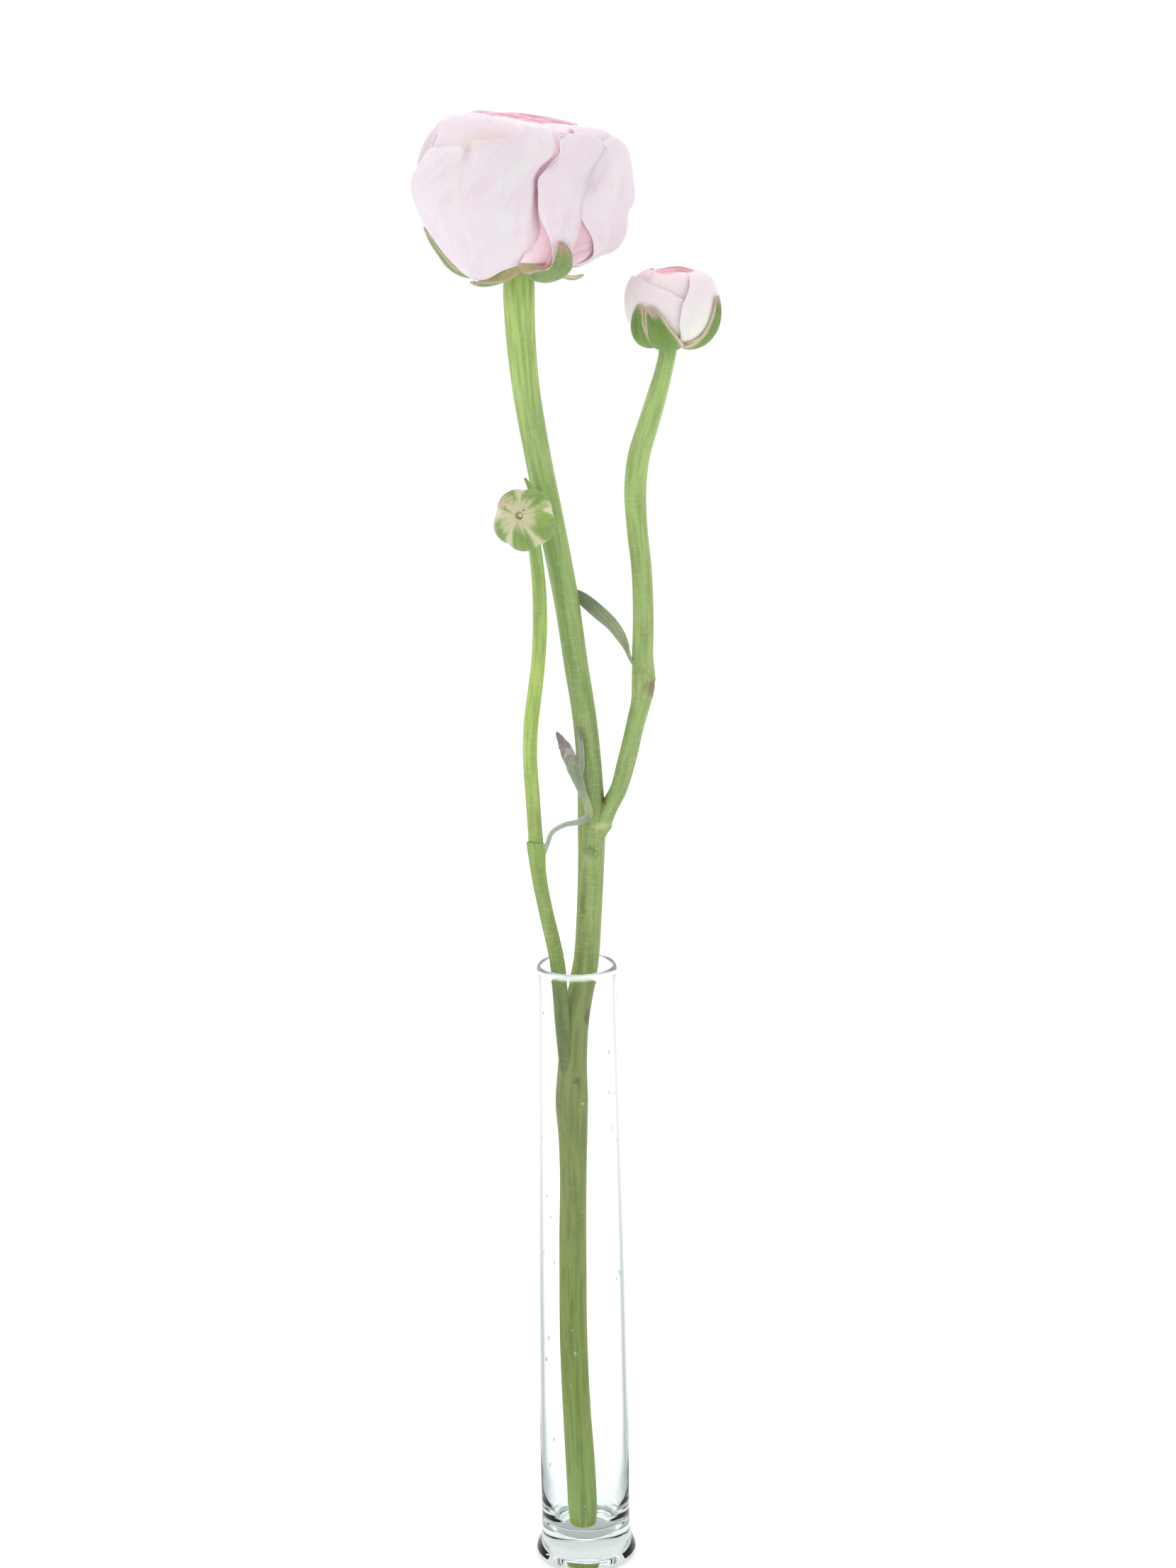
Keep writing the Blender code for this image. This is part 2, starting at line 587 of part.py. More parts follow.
def make_small_bud(cream, green):
    base = axis_empty("small_bud_base", LEFT_SHOOT, SMALL_BUD_AXIS)
    radius = SMALL_BUD_RADIUS
    profile = [(0, 1.5)]
    for a in np.radians(range(-70, 80, 15)):
        profile.append((radius * math.cos(a), 9.2 + radius * math.sin(a)))
    profile += [(1.2, 17.0), (0.9, 15.8), (0, 15.6)]
    ball = turned("small_bud_petals", profile, 20, cream)
    ball.parent = base
    outline = [(0, 0.4), (0.3, 0.95), (0.55, 1.0), (0.8, 0.6), (1, 0.14)]
    middle = radius + BALL_GAP + SEPAL_THICKNESS / 2
    route = [(1.0, 0.45)]
    for a in np.radians(range(-66, 80, 12)):
        route.append((middle * math.cos(a), 9.2 + middle * math.sin(a)))
    disc = [(0, 0), (1.9, 0), (2.3, 0.4), (0, 0.8)]
    pieces = [turned("small_sepal_disc", disc, 12)]
    for k in range(SMALL_BUD_SEPALS):
        turn = 22 + 360 * k / SMALL_BUD_SEPALS
        pieces.append(sepal(f"small_sepal_{k}", turn, route, 5.1, 0.0, (8, 4), outline))
    fuse("small_bud_sepals", pieces, green, base)


glass = material("clear glass", (0.93, 0.97, 0.96), 0.05, 0.35)
stem_green = material("stem green", (0.36, 0.47, 0.19), 0.55)
leaf_green = material("leaf green", (0.25, 0.35, 0.2), 0.65)
bract_grey = material("grey-green bract", (0.33, 0.38, 0.28), 0.7)
sepal_green = material("sepal green", (0.26, 0.35, 0.17), 0.75)
petal_pink = material("petal pink", (0.83, 0.68, 0.76), 0.6)
bud_pink = material("bud cream pink", (0.82, 0.7, 0.7), 0.6)
bud_cream = material("bud cream", (0.62, 0.64, 0.38), 0.7)

make_vase(glass)
make_stem(stem_green)
make_leaves(leaf_green, bract_grey)
make_bloom(petal_pink, sepal_green)
make_right_bud(bud_pink, sepal_green)
make_small_bud(bud_cream, sepal_green)
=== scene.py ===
import math

import bpy
import numpy as np
from mathutils import Matrix, Vector


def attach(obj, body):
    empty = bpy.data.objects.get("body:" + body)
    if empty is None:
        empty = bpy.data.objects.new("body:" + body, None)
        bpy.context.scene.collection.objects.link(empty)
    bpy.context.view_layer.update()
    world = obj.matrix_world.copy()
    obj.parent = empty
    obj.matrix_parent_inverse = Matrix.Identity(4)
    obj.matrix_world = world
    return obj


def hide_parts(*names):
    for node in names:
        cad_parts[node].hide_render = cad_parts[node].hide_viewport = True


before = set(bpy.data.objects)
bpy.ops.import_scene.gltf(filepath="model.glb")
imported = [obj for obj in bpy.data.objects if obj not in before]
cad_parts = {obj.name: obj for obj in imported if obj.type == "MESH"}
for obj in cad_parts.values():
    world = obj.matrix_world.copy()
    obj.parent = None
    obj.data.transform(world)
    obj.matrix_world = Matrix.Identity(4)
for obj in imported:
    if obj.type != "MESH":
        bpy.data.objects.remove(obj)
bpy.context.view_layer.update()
scene = bpy.context.scene
mm = 0.001  # routes and petals are laid out in millimetres
fullTurn = 2 * math.pi
black, white = (0, 0, 0), (1, 1, 1)


# Camera, floor and light

cameraSettings = {
    "place": (0.0042, -0.8, 0.442), "pitch": 13.7, "roll": 0.88, "lens": 64.45, "sensor": 36, "nearest": 0.02,
}
# glass also sees a greyer floor to its sides, but not straight behind, which draws its walls: a painted
# reflection, grey only in rays through or off glass
floorSettings = {
    "size": 6, "colour": (0.92, 0.92, 0.92), "glow": 0.2, "aside": (0.4, 0.44, 0.45), "behindAt": (0.8, 0.95),
    "startAt": (0.015, 0.05), "fadeAt": (0.12, 0.45), "farShare": 0.5,
}
lightSettings = {
    "aim": (0, 0, 0.25),
    "lamps": {
        "keyLeft": {"place": (-1, -0.55, 0.9), "size": 0.7, "power": 3},
        "fillRight": {"place": (1, -0.6, 0.8), "size": 0.8, "power": 1.7},
        "topBack": {"place": (0.1, 0.7, 1.3), "size": 0.9, "power": 2.5},
    },
}
# how bright the surroundings are overhead, at eye level and at eye level behind the viewer
worldSettings = {
    "above": (0.98, 0.99, 1), "level": (0.8, 0.82, 0.83), "front": (0.46, 0.48, 0.49),
    "frontAt": (-0.8, -0.1), "aboveAt": (0.15, 0.6),
}


def node(tree, kind, values=None, **settings):
    made = tree.nodes.new(kind)
    for key, value in settings.items():
        setattr(made, key, value)
    for key, value in (values or {}).items():
        if isinstance(value, bpy.types.NodeSocket):
            tree.links.new(value, made.inputs[key])
        else:
            made.inputs[key].default_value = value
    return made


def maths(tree, operation, first, second=0.0):
    return node(tree, "ShaderNodeMath", {0: first, 1: second}, operation=operation).outputs[0]


def vectorMaths(tree, operation, first, second=(0, 0, 0)):
    return node(tree, "ShaderNodeVectorMath", {0: first, 1: second}, operation=operation).outputs


def mixed(tree, factor, first, second):
    return node(tree, "ShaderNodeMix", {0: factor, 6: first, 7: second}, data_type="RGBA").outputs[2]


def ramp(tree, value, low, high, toLow=0.0, toHigh=1.0, kind="SMOOTHSTEP"):
    values = {0: value, 1: low, 2: high, 3: toLow, 4: toHigh}
    return node(tree, "ShaderNodeMapRange", values, interpolation_type=kind).outputs[0]


def rgb(colour):
    return (*colour, 1.0)


def objectPlace(tree):
    return node(tree, "ShaderNodeTexCoord").outputs["Object"]


def parts(tree, vector):
    return node(tree, "ShaderNodeSeparateXYZ", {0: vector}).outputs


def newMaterial(name, **constants):
    material = bpy.data.materials.new(name)
    material.use_nodes = True
    shader = material.node_tree.nodes["Principled BSDF"]
    for key, value in constants.items():
        shader.inputs[key.replace("_", " ")].default_value = value
    return material, material.node_tree, shader


def makeCamera():
    made = cameraSettings
    pitch, roll = math.radians(made["pitch"]), math.radians(made["roll"])
    ahead = Vector((0, math.cos(pitch), -math.sin(pitch)))
    level, above = Vector((1, 0, 0)), Vector((0, math.sin(pitch), math.cos(pitch)))
    right = math.cos(roll) * level - math.sin(roll) * above
    up = math.sin(roll) * level + math.cos(roll) * above
    data = bpy.data.cameras.new("camera")
    data.lens = made["lens"]
    data.sensor_width = made["sensor"]
    data.clip_start = made["nearest"]
    camera = bpy.data.objects.new("camera", data)
    turn = Matrix((right, up, -ahead)).transposed()
    camera.matrix_world = Matrix.Translation(made["place"]) @ turn.to_4x4()
    scene.collection.objects.link(camera)
    scene.camera = camera


def makeFloor():
    made = floorSettings
    half = made["size"] / 2
    mesh = bpy.data.meshes.new("floor")
    corners = [(-half, -half, 0), (half, -half, 0), (half, half, 0), (-half, half, 0)]
    mesh.from_pydata(corners, [], [(0, 1, 2, 3)])
    floor = bpy.data.objects.new("floor", mesh)
    scene.collection.objects.link(floor)
    material, tree, shader = newMaterial("whiteFloor", Roughness=0.7, Emission_Strength=made["glow"])
    place = objectPlace(tree)
    far = vectorMaths(tree, "LENGTH", place)["Value"]
    behind = maths(tree, "DIVIDE", parts(tree, place)[1], maths(tree, "MAXIMUM", far, 0.001))
    # painted reflection: greyer to the vase's sides, only in rays through or off glass
    aside = ramp(tree, behind, *made["behindAt"], 1.0, 0.0)
    aside = maths(tree, "MULTIPLY", aside, ramp(tree, far, *made["startAt"]))
    aside = maths(tree, "MULTIPLY", aside, ramp(tree, far, *made["fadeAt"], 1.0, made["farShare"]))
    path = node(tree, "ShaderNodeLightPath").outputs
    seen = maths(tree, "MAXIMUM", path["Is Transmission Ray"], path["Is Glossy Ray"])
    colour = mixed(tree, maths(tree, "MULTIPLY", aside, seen), rgb(made["colour"]), rgb(made["aside"]))
    tree.links.new(colour, shader.inputs["Base Color"])
    tree.links.new(colour, shader.inputs["Emission Color"])
    mesh.materials.append(material)


def makeLights():
    for name, light in lightSettings["lamps"].items():
        data = bpy.data.lights.new(name, "AREA")
        data.shape = "DISK"
        data.size = light["size"]
        data.energy = light["power"]
        lamp = bpy.data.objects.new(name, data)
        lamp.location = light["place"]
        aim = Vector(lightSettings["aim"]) - lamp.location
        lamp.rotation_euler = aim.to_track_quat("-Z", "Y").to_euler()
        scene.collection.objects.link(lamp)


def makeWorld():
    made = worldSettings
    world = bpy.data.worlds.new("studio")
    scene.world = world
    world.use_nodes = True
    tree = world.node_tree
    apart = parts(tree, node(tree, "ShaderNodeTexCoord").outputs["Generated"])
    front = ramp(tree, apart[1], *made["frontAt"], 1.0, 0.0)
    level = mixed(tree, front, rgb(made["level"]), rgb(made["front"]))
    colour = mixed(tree, ramp(tree, apart[2], *made["aboveAt"]), level, rgb(made["above"]))
    seen = node(tree, "ShaderNodeLightPath").outputs["Is Camera Ray"]
    tree.links.new(mixed(tree, seen, colour, rgb(white)), tree.nodes["Background"].inputs["Color"])
    scene.view_settings.view_transform = "Standard"
    scene.view_settings.look = "None"


# Shapes shared by several pieces

def through(knots, values, t):
    # smooth curve through values given at rising knots
    knots, values = np.asarray(knots, float), np.asarray(values, float)
    t = np.clip(np.asarray(t, float), knots[0], knots[-1])
    slopes = np.gradient(values, knots, axis=0)
    i = np.clip(np.searchsorted(knots, t, "right") - 1, 0, len(knots) - 2)
    width = knots[i + 1] - knots[i]
    s = (t - knots[i]) / width
    if values.ndim > 1:
        width, s = width[..., None], s[..., None]
    start = (1 + 2 * s) * (1 - s) ** 2 * values[i] + s * (1 - s) ** 2 * width * slopes[i]
    end = s * s * (3 - 2 * s) * values[i + 1] + s * s * (s - 1) * width * slopes[i + 1]
    return start + end


def along(route, t):
    # point on the smooth curve through a route, t from 0 to 1 by chord length
    route = np.asarray(route, float)
    steps = np.linalg.norm(np.diff(route, axis=0), axis=1)
    return through(np.concatenate([[0], np.cumsum(steps)]) / steps.sum(), route, t)


def aheadAlong(route, t):
    step = 0.002
    return (along(route, t + step) - along(route, t - step))[:, :3]


def profile(pairs, t):
    # smooth curve through (knot, value) pairs
    knots, values = zip(*pairs)
    return through(knots, values, t)


def unit(vectors, least=0.0):
    return vectors / (np.linalg.norm(vectors, axis=-1, keepdims=True) + least)


def limited(values):
    return np.clip(values, 0, 1)


def bell(distance, spread):
    return np.exp(-((distance / spread) ** 2))


def ripple(first, second, seed, count=6):
    # seeded sum of sine waves over two coordinates, roughly from -1 to 1
    draw = np.random.default_rng(seed)
    total = np.zeros(np.broadcast(first, second).shape)
    for k in range(count):
        turn, size, phase = draw.uniform(0, fullTurn), draw.uniform(0.6, 1.9), draw.uniform(0, 7)
        total += np.sin(size * (first * math.cos(turn) + second * math.sin(turn)) + phase)
    return total / count * 1.6


def grid(rows, columns):
    return np.meshgrid(np.linspace(0, 1, rows), np.linspace(-1, 1, columns), indexing="ij")


def lengthOf(points):
    return np.linalg.norm(np.diff(points, axis=0), axis=1).sum()


def around(radius, turn, height):
    # points round an upright axis, turn 0 to the front
    return np.stack([radius * np.sin(turn), -radius * np.cos(turn), height], -1)


def normalsOf(middle):
    return unit(np.cross(np.gradient(middle, axis=1), np.gradient(middle, axis=0)), 1e-12)


def joined(faces):
    return np.concatenate([np.stack(corners, 1) for corners in faces])


def cellFaces(a, b, d, e):
    # each cell's two triangles
    a, b, d, e = (corner.ravel() for corner in (a, b, d, e))
    return [(a, b, e), (a, e, d)]


def ringFaces(index):
    after = np.roll(index, -1, axis=1)
    return cellFaces(index[:-1], after[:-1], index[1:], after[1:])


def cappedFaces(rows, sides):
    # point 0, then rings of points, then one last point
    index = 1 + np.arange(rows * sides).reshape(rows, sides)
    after = np.roll(index, -1, axis=1)
    faces = [(a, c, b) for a, b, c in ringFaces(index)]
    faces.append((0 * index[0], index[0], after[0]))
    faces.append((0 * index[0] + rows * sides + 1, after[-1], index[-1]))
    return joined(faces)


def sheetShell(middle, thickness, look, place, inside=0.0):
    # a thin closed shell round a grid of points, thinner towards its edges; both faces split alike
    edgeShare, edgeStart = 0.35, 7
    rows, columns = middle.shape[:2]
    v, u = grid(rows, columns)
    rim = limited(np.maximum(np.abs(u), v) * (edgeStart + 1) - edgeStart)
    thick = thickness * (1 - (1 - edgeShare) * rim**2)
    normals = normalsOf(middle)
    front = (middle + normals * thick[..., None] / 2).reshape(-1, 3)
    back = (middle - normals * thick[..., None] / 2).reshape(-1, 3)
    half = rows * columns
    index = np.arange(half).reshape(rows, columns)
    outer = joined(cellFaces(index[:-1, :-1], index[:-1, 1:], index[1:, :-1], index[1:, 1:]))
    border = np.concatenate([index[0], index[1:, -1], index[-1, -2::-1], index[-2:0:-1, 0]])
    after = np.roll(border, -1)
    sides = joined([(border, border + half, after + half), (border, after + half, after)])
    look = look.reshape(-1, 3)
    return {
        "points": np.concatenate([front, back]),
        "faces": np.concatenate([outer, outer[:, ::-1] + half, sides]),
        "look": np.concatenate([look, look + np.array([0, 0, inside])]),
        "place": np.concatenate([place.reshape(-1, 3)] * 2),
    }


def addPiece(name, shells, material, replaced, sharpAngle=55):
    # one mesh object from one or more closed shells, riding with the root body
    starts = np.cumsum([0] + [len(shell["points"]) for shell in shells])
    points = np.concatenate([shell["points"] for shell in shells])
    faces = np.concatenate([shell["faces"] + start for shell, start in zip(shells, starts)])
    mesh = bpy.data.meshes.new(name)
    mesh.vertices.add(len(points))
    mesh.vertices.foreach_set("co", (points * mm).ravel())
    mesh.loops.add(faces.size)
    mesh.loops.foreach_set("vertex_index", faces.ravel())
    mesh.polygons.add(len(faces))
    mesh.polygons.foreach_set("loop_start", np.arange(len(faces)) * 3)
    mesh.update(calc_edges=True)
    for key in ("look", "place"):
        layer = mesh.attributes.new(key, "FLOAT_VECTOR", "POINT")
        layer.data.foreach_set("vector", np.concatenate([shell[key] for shell in shells]).ravel())
    mesh.shade_smooth()
    mesh.set_sharp_from_angle(angle=math.radians(sharpAngle))
    mesh.materials.append(material)
    made = bpy.data.objects.new(name, mesh)
    scene.collection.objects.link(made)
    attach(made, "root")
    if replaced:
        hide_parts(replaced)
    print(name, len(faces), "triangles")


def tubeShell(route, rings, sides, shaping):
    # a round stem along (x, y, z, radius) points; look holds turn, share and height, place its unrolled form
    capDip = 0.25
    share = np.linspace(0, 1, rings)
    centres, radii = np.split(along(route, share), [3], axis=1)
    ahead = unit(aheadAlong(route, share))
    steps = np.linalg.norm(np.diff(centres, axis=0), axis=1)
    length = np.concatenate([[0], np.cumsum(steps)])[:, None]
    turn = np.linspace(0, fullTurn, sides, endpoint=False)
    flat = np.zeros((rings, sides))
    grown = shaping(radii + flat, turn + flat, length + flat)
    across = np.array([1.0, 0.0, 0.0])
    points = np.zeros((rings, sides, 3))
    for k in range(rings):
        across = unit(across - ahead[k] * across.dot(ahead[k]))
        beside = np.cross(ahead[k], across)
        ring = np.cos(turn)[:, None] * across + np.sin(turn)[:, None] * beside
        points[k] = centres[k] + grown[k][:, None] * ring
    place = np.stack([radii * np.cos(turn), radii * np.sin(turn), length + flat], -1)
    look = np.stack([turn / fullTurn + flat, share[:, None] + flat, centres[:, 2:] + flat], -1)
    index = np.arange(rings * sides).reshape(rings, sides)
    faces = ringFaces(index)
    points, look, place = points.reshape(-1, 3), look.reshape(-1, 3), place.reshape(-1, 3)
    for end, inward in ((0, ahead[0]), (-1, -ahead[-1])):
        ring = index[end]
        pair = (np.roll(ring, -1), ring) if end == 0 else (ring, np.roll(ring, -1))
        faces.append((0 * ring + len(points), *pair))
        points = np.concatenate([points, [centres[end] + inward * capDip * radii[end]]])
        look = np.concatenate([look, look[ring[:1]]])
        place = np.concatenate([place, [[0, 0, length[end, 0]]]])
    return {"points": points, "faces": joined(faces), "look": look, "place": place}


def hairShell(roots, directions, settings, seed):
    # fine three-sided hairs that bend at mid-length
    draw = np.random.default_rng(seed)
    count = len(roots)
    directions = unit(directions + draw.normal(0, settings["lean"], (count, 3)))
    length = settings["length"] * draw.uniform(0.45, 1.15, count)
    bend = draw.normal(0, 0.35, (count, 3)) + np.array([0, 0, settings["droop"]])
    side = unit(np.cross(directions, draw.normal(0, 1, (count, 3))))
    other = np.cross(directions, side)
    points = []
    for share, radius in ((0, 1.0), (0.5, 0.8)):
        centre = roots + directions * (length * share)[:, None] + bend * (length * share**2 * 0.5)[:, None]
        for turn in (0, 2.094, 4.189):
            ring = side * math.cos(turn) + other * math.sin(turn)
            points.append(centre + ring * settings["radius"] * radius)
    points.append(roots + directions * length[:, None] + bend * (length * 0.5)[:, None])
    perHair = len(points)
    points = np.stack(points, 1).reshape(-1, 3)
    sides = [(0, 1, 4), (0, 4, 3), (1, 2, 5), (1, 5, 4), (2, 0, 3), (2, 3, 5)]
    corners = sides + [(3, 4, 6), (4, 5, 6), (5, 3, 6), (2, 1, 0)]
    faces = (np.arange(count) * perHair)[:, None, None] + np.array(corners)
    return {"points": points, "faces": faces.reshape(-1, 3), "look": np.zeros(points.shape), "place": points}


def scatter(middle, count, seed):
    # seeded points and normals over a grid of points
    draw = np.random.default_rng(seed)
    rows, columns = middle.shape[:2]
    i, j = draw.integers(0, rows - 1, count), draw.integers(0, columns - 1, count)
    s, t = draw.uniform(0, 1, (2, count))[..., None]
    near = (1 - s) * (1 - t) * middle[i, j] + s * (1 - t) * middle[i + 1, j]
    return near + (1 - s) * t * middle[i, j + 1] + s * t * middle[i + 1, j + 1], normalsOf(middle)[i, j]


def flowerPlace(end, axis):
    # where a flower sits on its stem: Z along its axis, X to the right, -Y to the front or, if it nods, down
    seat, upright = 0.55, 0.9
    upward = np.array(axis, float) / np.linalg.norm(axis)
    behind = np.array([0, 1.0, 0]) if abs(upward[1]) < upright else np.array([0, 0, 1.0])
    right = unit(np.cross(behind, upward))
    return np.array(end[:3], float) + upward * seat, np.stack([right, np.cross(upward, right), upward])


def placed(points, place):
    base, axes = place
    return base + points @ axes


# Effects that several materials share

# each grain is one noise: its stretch, its size or the input that sets it, then detail, roughness, distortion
fibreSettings = {
    "inputs": {"Place": (0, 0, 0), "Fibre Width": 0.5, "Ring Spacing": 0.7},
    "grains": {
        "Fibres": {"stretch": (1, 1, 0.06), "size": "Fibre Width", "noise": (2, 0.5)},
        "Rings": {"stretch": (0.26, 0.26, 1), "size": "Ring Spacing", "noise": (2, 0.5, 0.8)},
        "Specks": {"stretch": (1, 1, 0.5), "size": 3.2, "noise": (2, 0.6), "between": (0.6, 0.74)},
        "Patches": {"stretch": (0.8, 0.8, 0.07), "size": 0.9, "noise": (2, 0.5)},
    },
}
veinSettings = {
    "inputs": {"Place": (0, 0, 0), "Spacing": 0.8},
    "grains": {
        "Veins": {
            "stretch": (1, 0.045, 1), "size": "Spacing", "noise": (3, 0.65, 0.2), "between": (0.3, 0.7),
        },
        "Wrinkles": {"stretch": (0.32, 0.12, 1), "size": 1.0, "noise": (3, 0.55, 0.6)},
        "Blotches": {"stretch": (0.14, 0.11, 1), "size": 1.0, "noise": (3, 0.6, 0.4)},
        "Crinkles": {"stretch": (1.5, 0.9, 1), "size": 1.0, "noise": (4, 0.6, 0.9)},
    },
}
spotSettings = {
    "inputs": {"Centre": (0, 0, 0), "Stretch": (1, 1, 1), "Radius": 0.002, "Ragged": 0.5, "Border": 0.45},
    "noise": (900, 3, 0.7), "reach": 3.0, "edge": 1.05,
}


def newGroup(name, inputs, outputs):
    group = bpy.data.node_groups.new(name, "ShaderNodeTree")
    for label, default in inputs.items():
        kind = "NodeSocketFloat" if isinstance(default, float) else "NodeSocketVector"
        group.interface.new_socket(label, in_out="INPUT", socket_type=kind).default_value = default
    for label in outputs:
        group.interface.new_socket(label, in_out="OUTPUT", socket_type="NodeSocketFloat")
    return group, group.nodes.new("NodeGroupInput").outputs, group.nodes.new("NodeGroupOutput").inputs


def noise(tree, place, scale, detail, rough, distortion=0.0):
    values = {"Vector": place, "Scale": scale, "Detail": detail, "Roughness": rough, "Distortion": distortion}
    return node(tree, "ShaderNodeTexNoise", values).outputs["Fac"]


def makeGrainGroup(name, settings):
    # noises over one place, each stretched its own way and kept between two levels if it lists them
    group, given, out = newGroup(name, settings["inputs"], settings["grains"])
    for label, grain in settings["grains"].items():
        size = grain["size"]
        if isinstance(size, str):
            size = maths(group, "DIVIDE", 1.0, given[size])
        place = vectorMaths(group, "MULTIPLY", given["Place"], grain["stretch"])[0]
        found = noise(group, place, size, *grain["noise"])
        if "between" in grain:
            found = ramp(group, found, *grain["between"])
        group.links.new(found, out[label])
    return group


def makeSpotGroup(name, settings):
    # a ragged spot round one point of the object
    group, given, out = newGroup(name, settings["inputs"], ["Mask"])
    place = objectPlace(group)
    away = vectorMaths(group, "SUBTRACT", place, given["Centre"])[0]
    away = vectorMaths(group, "MULTIPLY", away, given["Stretch"])[0]
    away = maths(group, "DIVIDE", vectorMaths(group, "LENGTH", away)["Value"], given["Radius"])
    grain = maths(group, "SUBTRACT", noise(group, place, *settings["noise"]), 0.5)
    grain = maths(group, "MULTIPLY", maths(group, "MULTIPLY", grain, given["Ragged"]), settings["reach"])
    inside = maths(group, "SUBTRACT", settings["edge"], maths(group, "ADD", away, grain))
    inside = maths(group, "DIVIDE", inside, given["Border"])
    group.links.new(ramp(group, inside, 0.0, 1.0), out["Mask"])
    return group


fibreGroup = makeGrainGroup("stemFibres", fibreSettings)
veinGroup = makeGrainGroup("petalVeins", veinSettings)
spotGroup = makeSpotGroup("raggedSpot", spotSettings)


def attribute(tree, name):
    return node(tree, "ShaderNodeAttribute", attribute_name=name).outputs["Vector"]


def grouped(tree, group, values):
    return node(tree, "ShaderNodeGroup", values, node_tree=group).outputs


def layered(tree, colour, layers):
    # each layer is a mask, its strength and its colour
    for mask, strength, paint in layers:
        colour = mixed(tree, maths(tree, "MULTIPLY", mask, strength), colour, rgb(paint))
    return colour


def spot(centre, radius, colour, strength=1.0, ragged=0.5, stretch=(1, 1, 1), border=0.45):
    values = {"Centre": Vector(centre) * mm, "Stretch": stretch, "Radius": radius * mm}
    return {**values, "Ragged": ragged, "Border": border}, strength, colour


def spotted(tree, colour, spots):
    masks = [grouped(tree, spotGroup, values)["Mask"] for values, strength, paint in spots]
    return layered(tree, colour, [(mask, *spot[1:]) for mask, spot in zip(masks, spots)])


def coloured(tree, shader, colour, lifted, made):
    # spots go over the colour, and the parts that look.z marks give off a share of it as light: a painted
    # glow that brightens them where they lie in shade
    colour = spotted(tree, colour, made["spots"])
    tree.links.new(colour, shader.inputs["Base Color"])
    glow = maths(tree, "MULTIPLY", lifted, made["lift"])
    tree.links.new(mixed(tree, glow, rgb(black), colour), shader.inputs["Emission Color"])


def bumped(tree, shader, height, strength, distance):
    made = node(tree, "ShaderNodeBump", {"Height": height, "Strength": strength, "Distance": distance * mm})
    tree.links.new(made.outputs[0], shader.inputs["Normal"])


def summed(tree, *terms):
    # each term is a value and its share
    shares = [maths(tree, "MULTIPLY", value, share) if share != 1 else value for value, share in terms]
    total = shares[0]
    for share in shares[1:]:
        total = maths(tree, "ADD", total, share)
    return total


# Stems

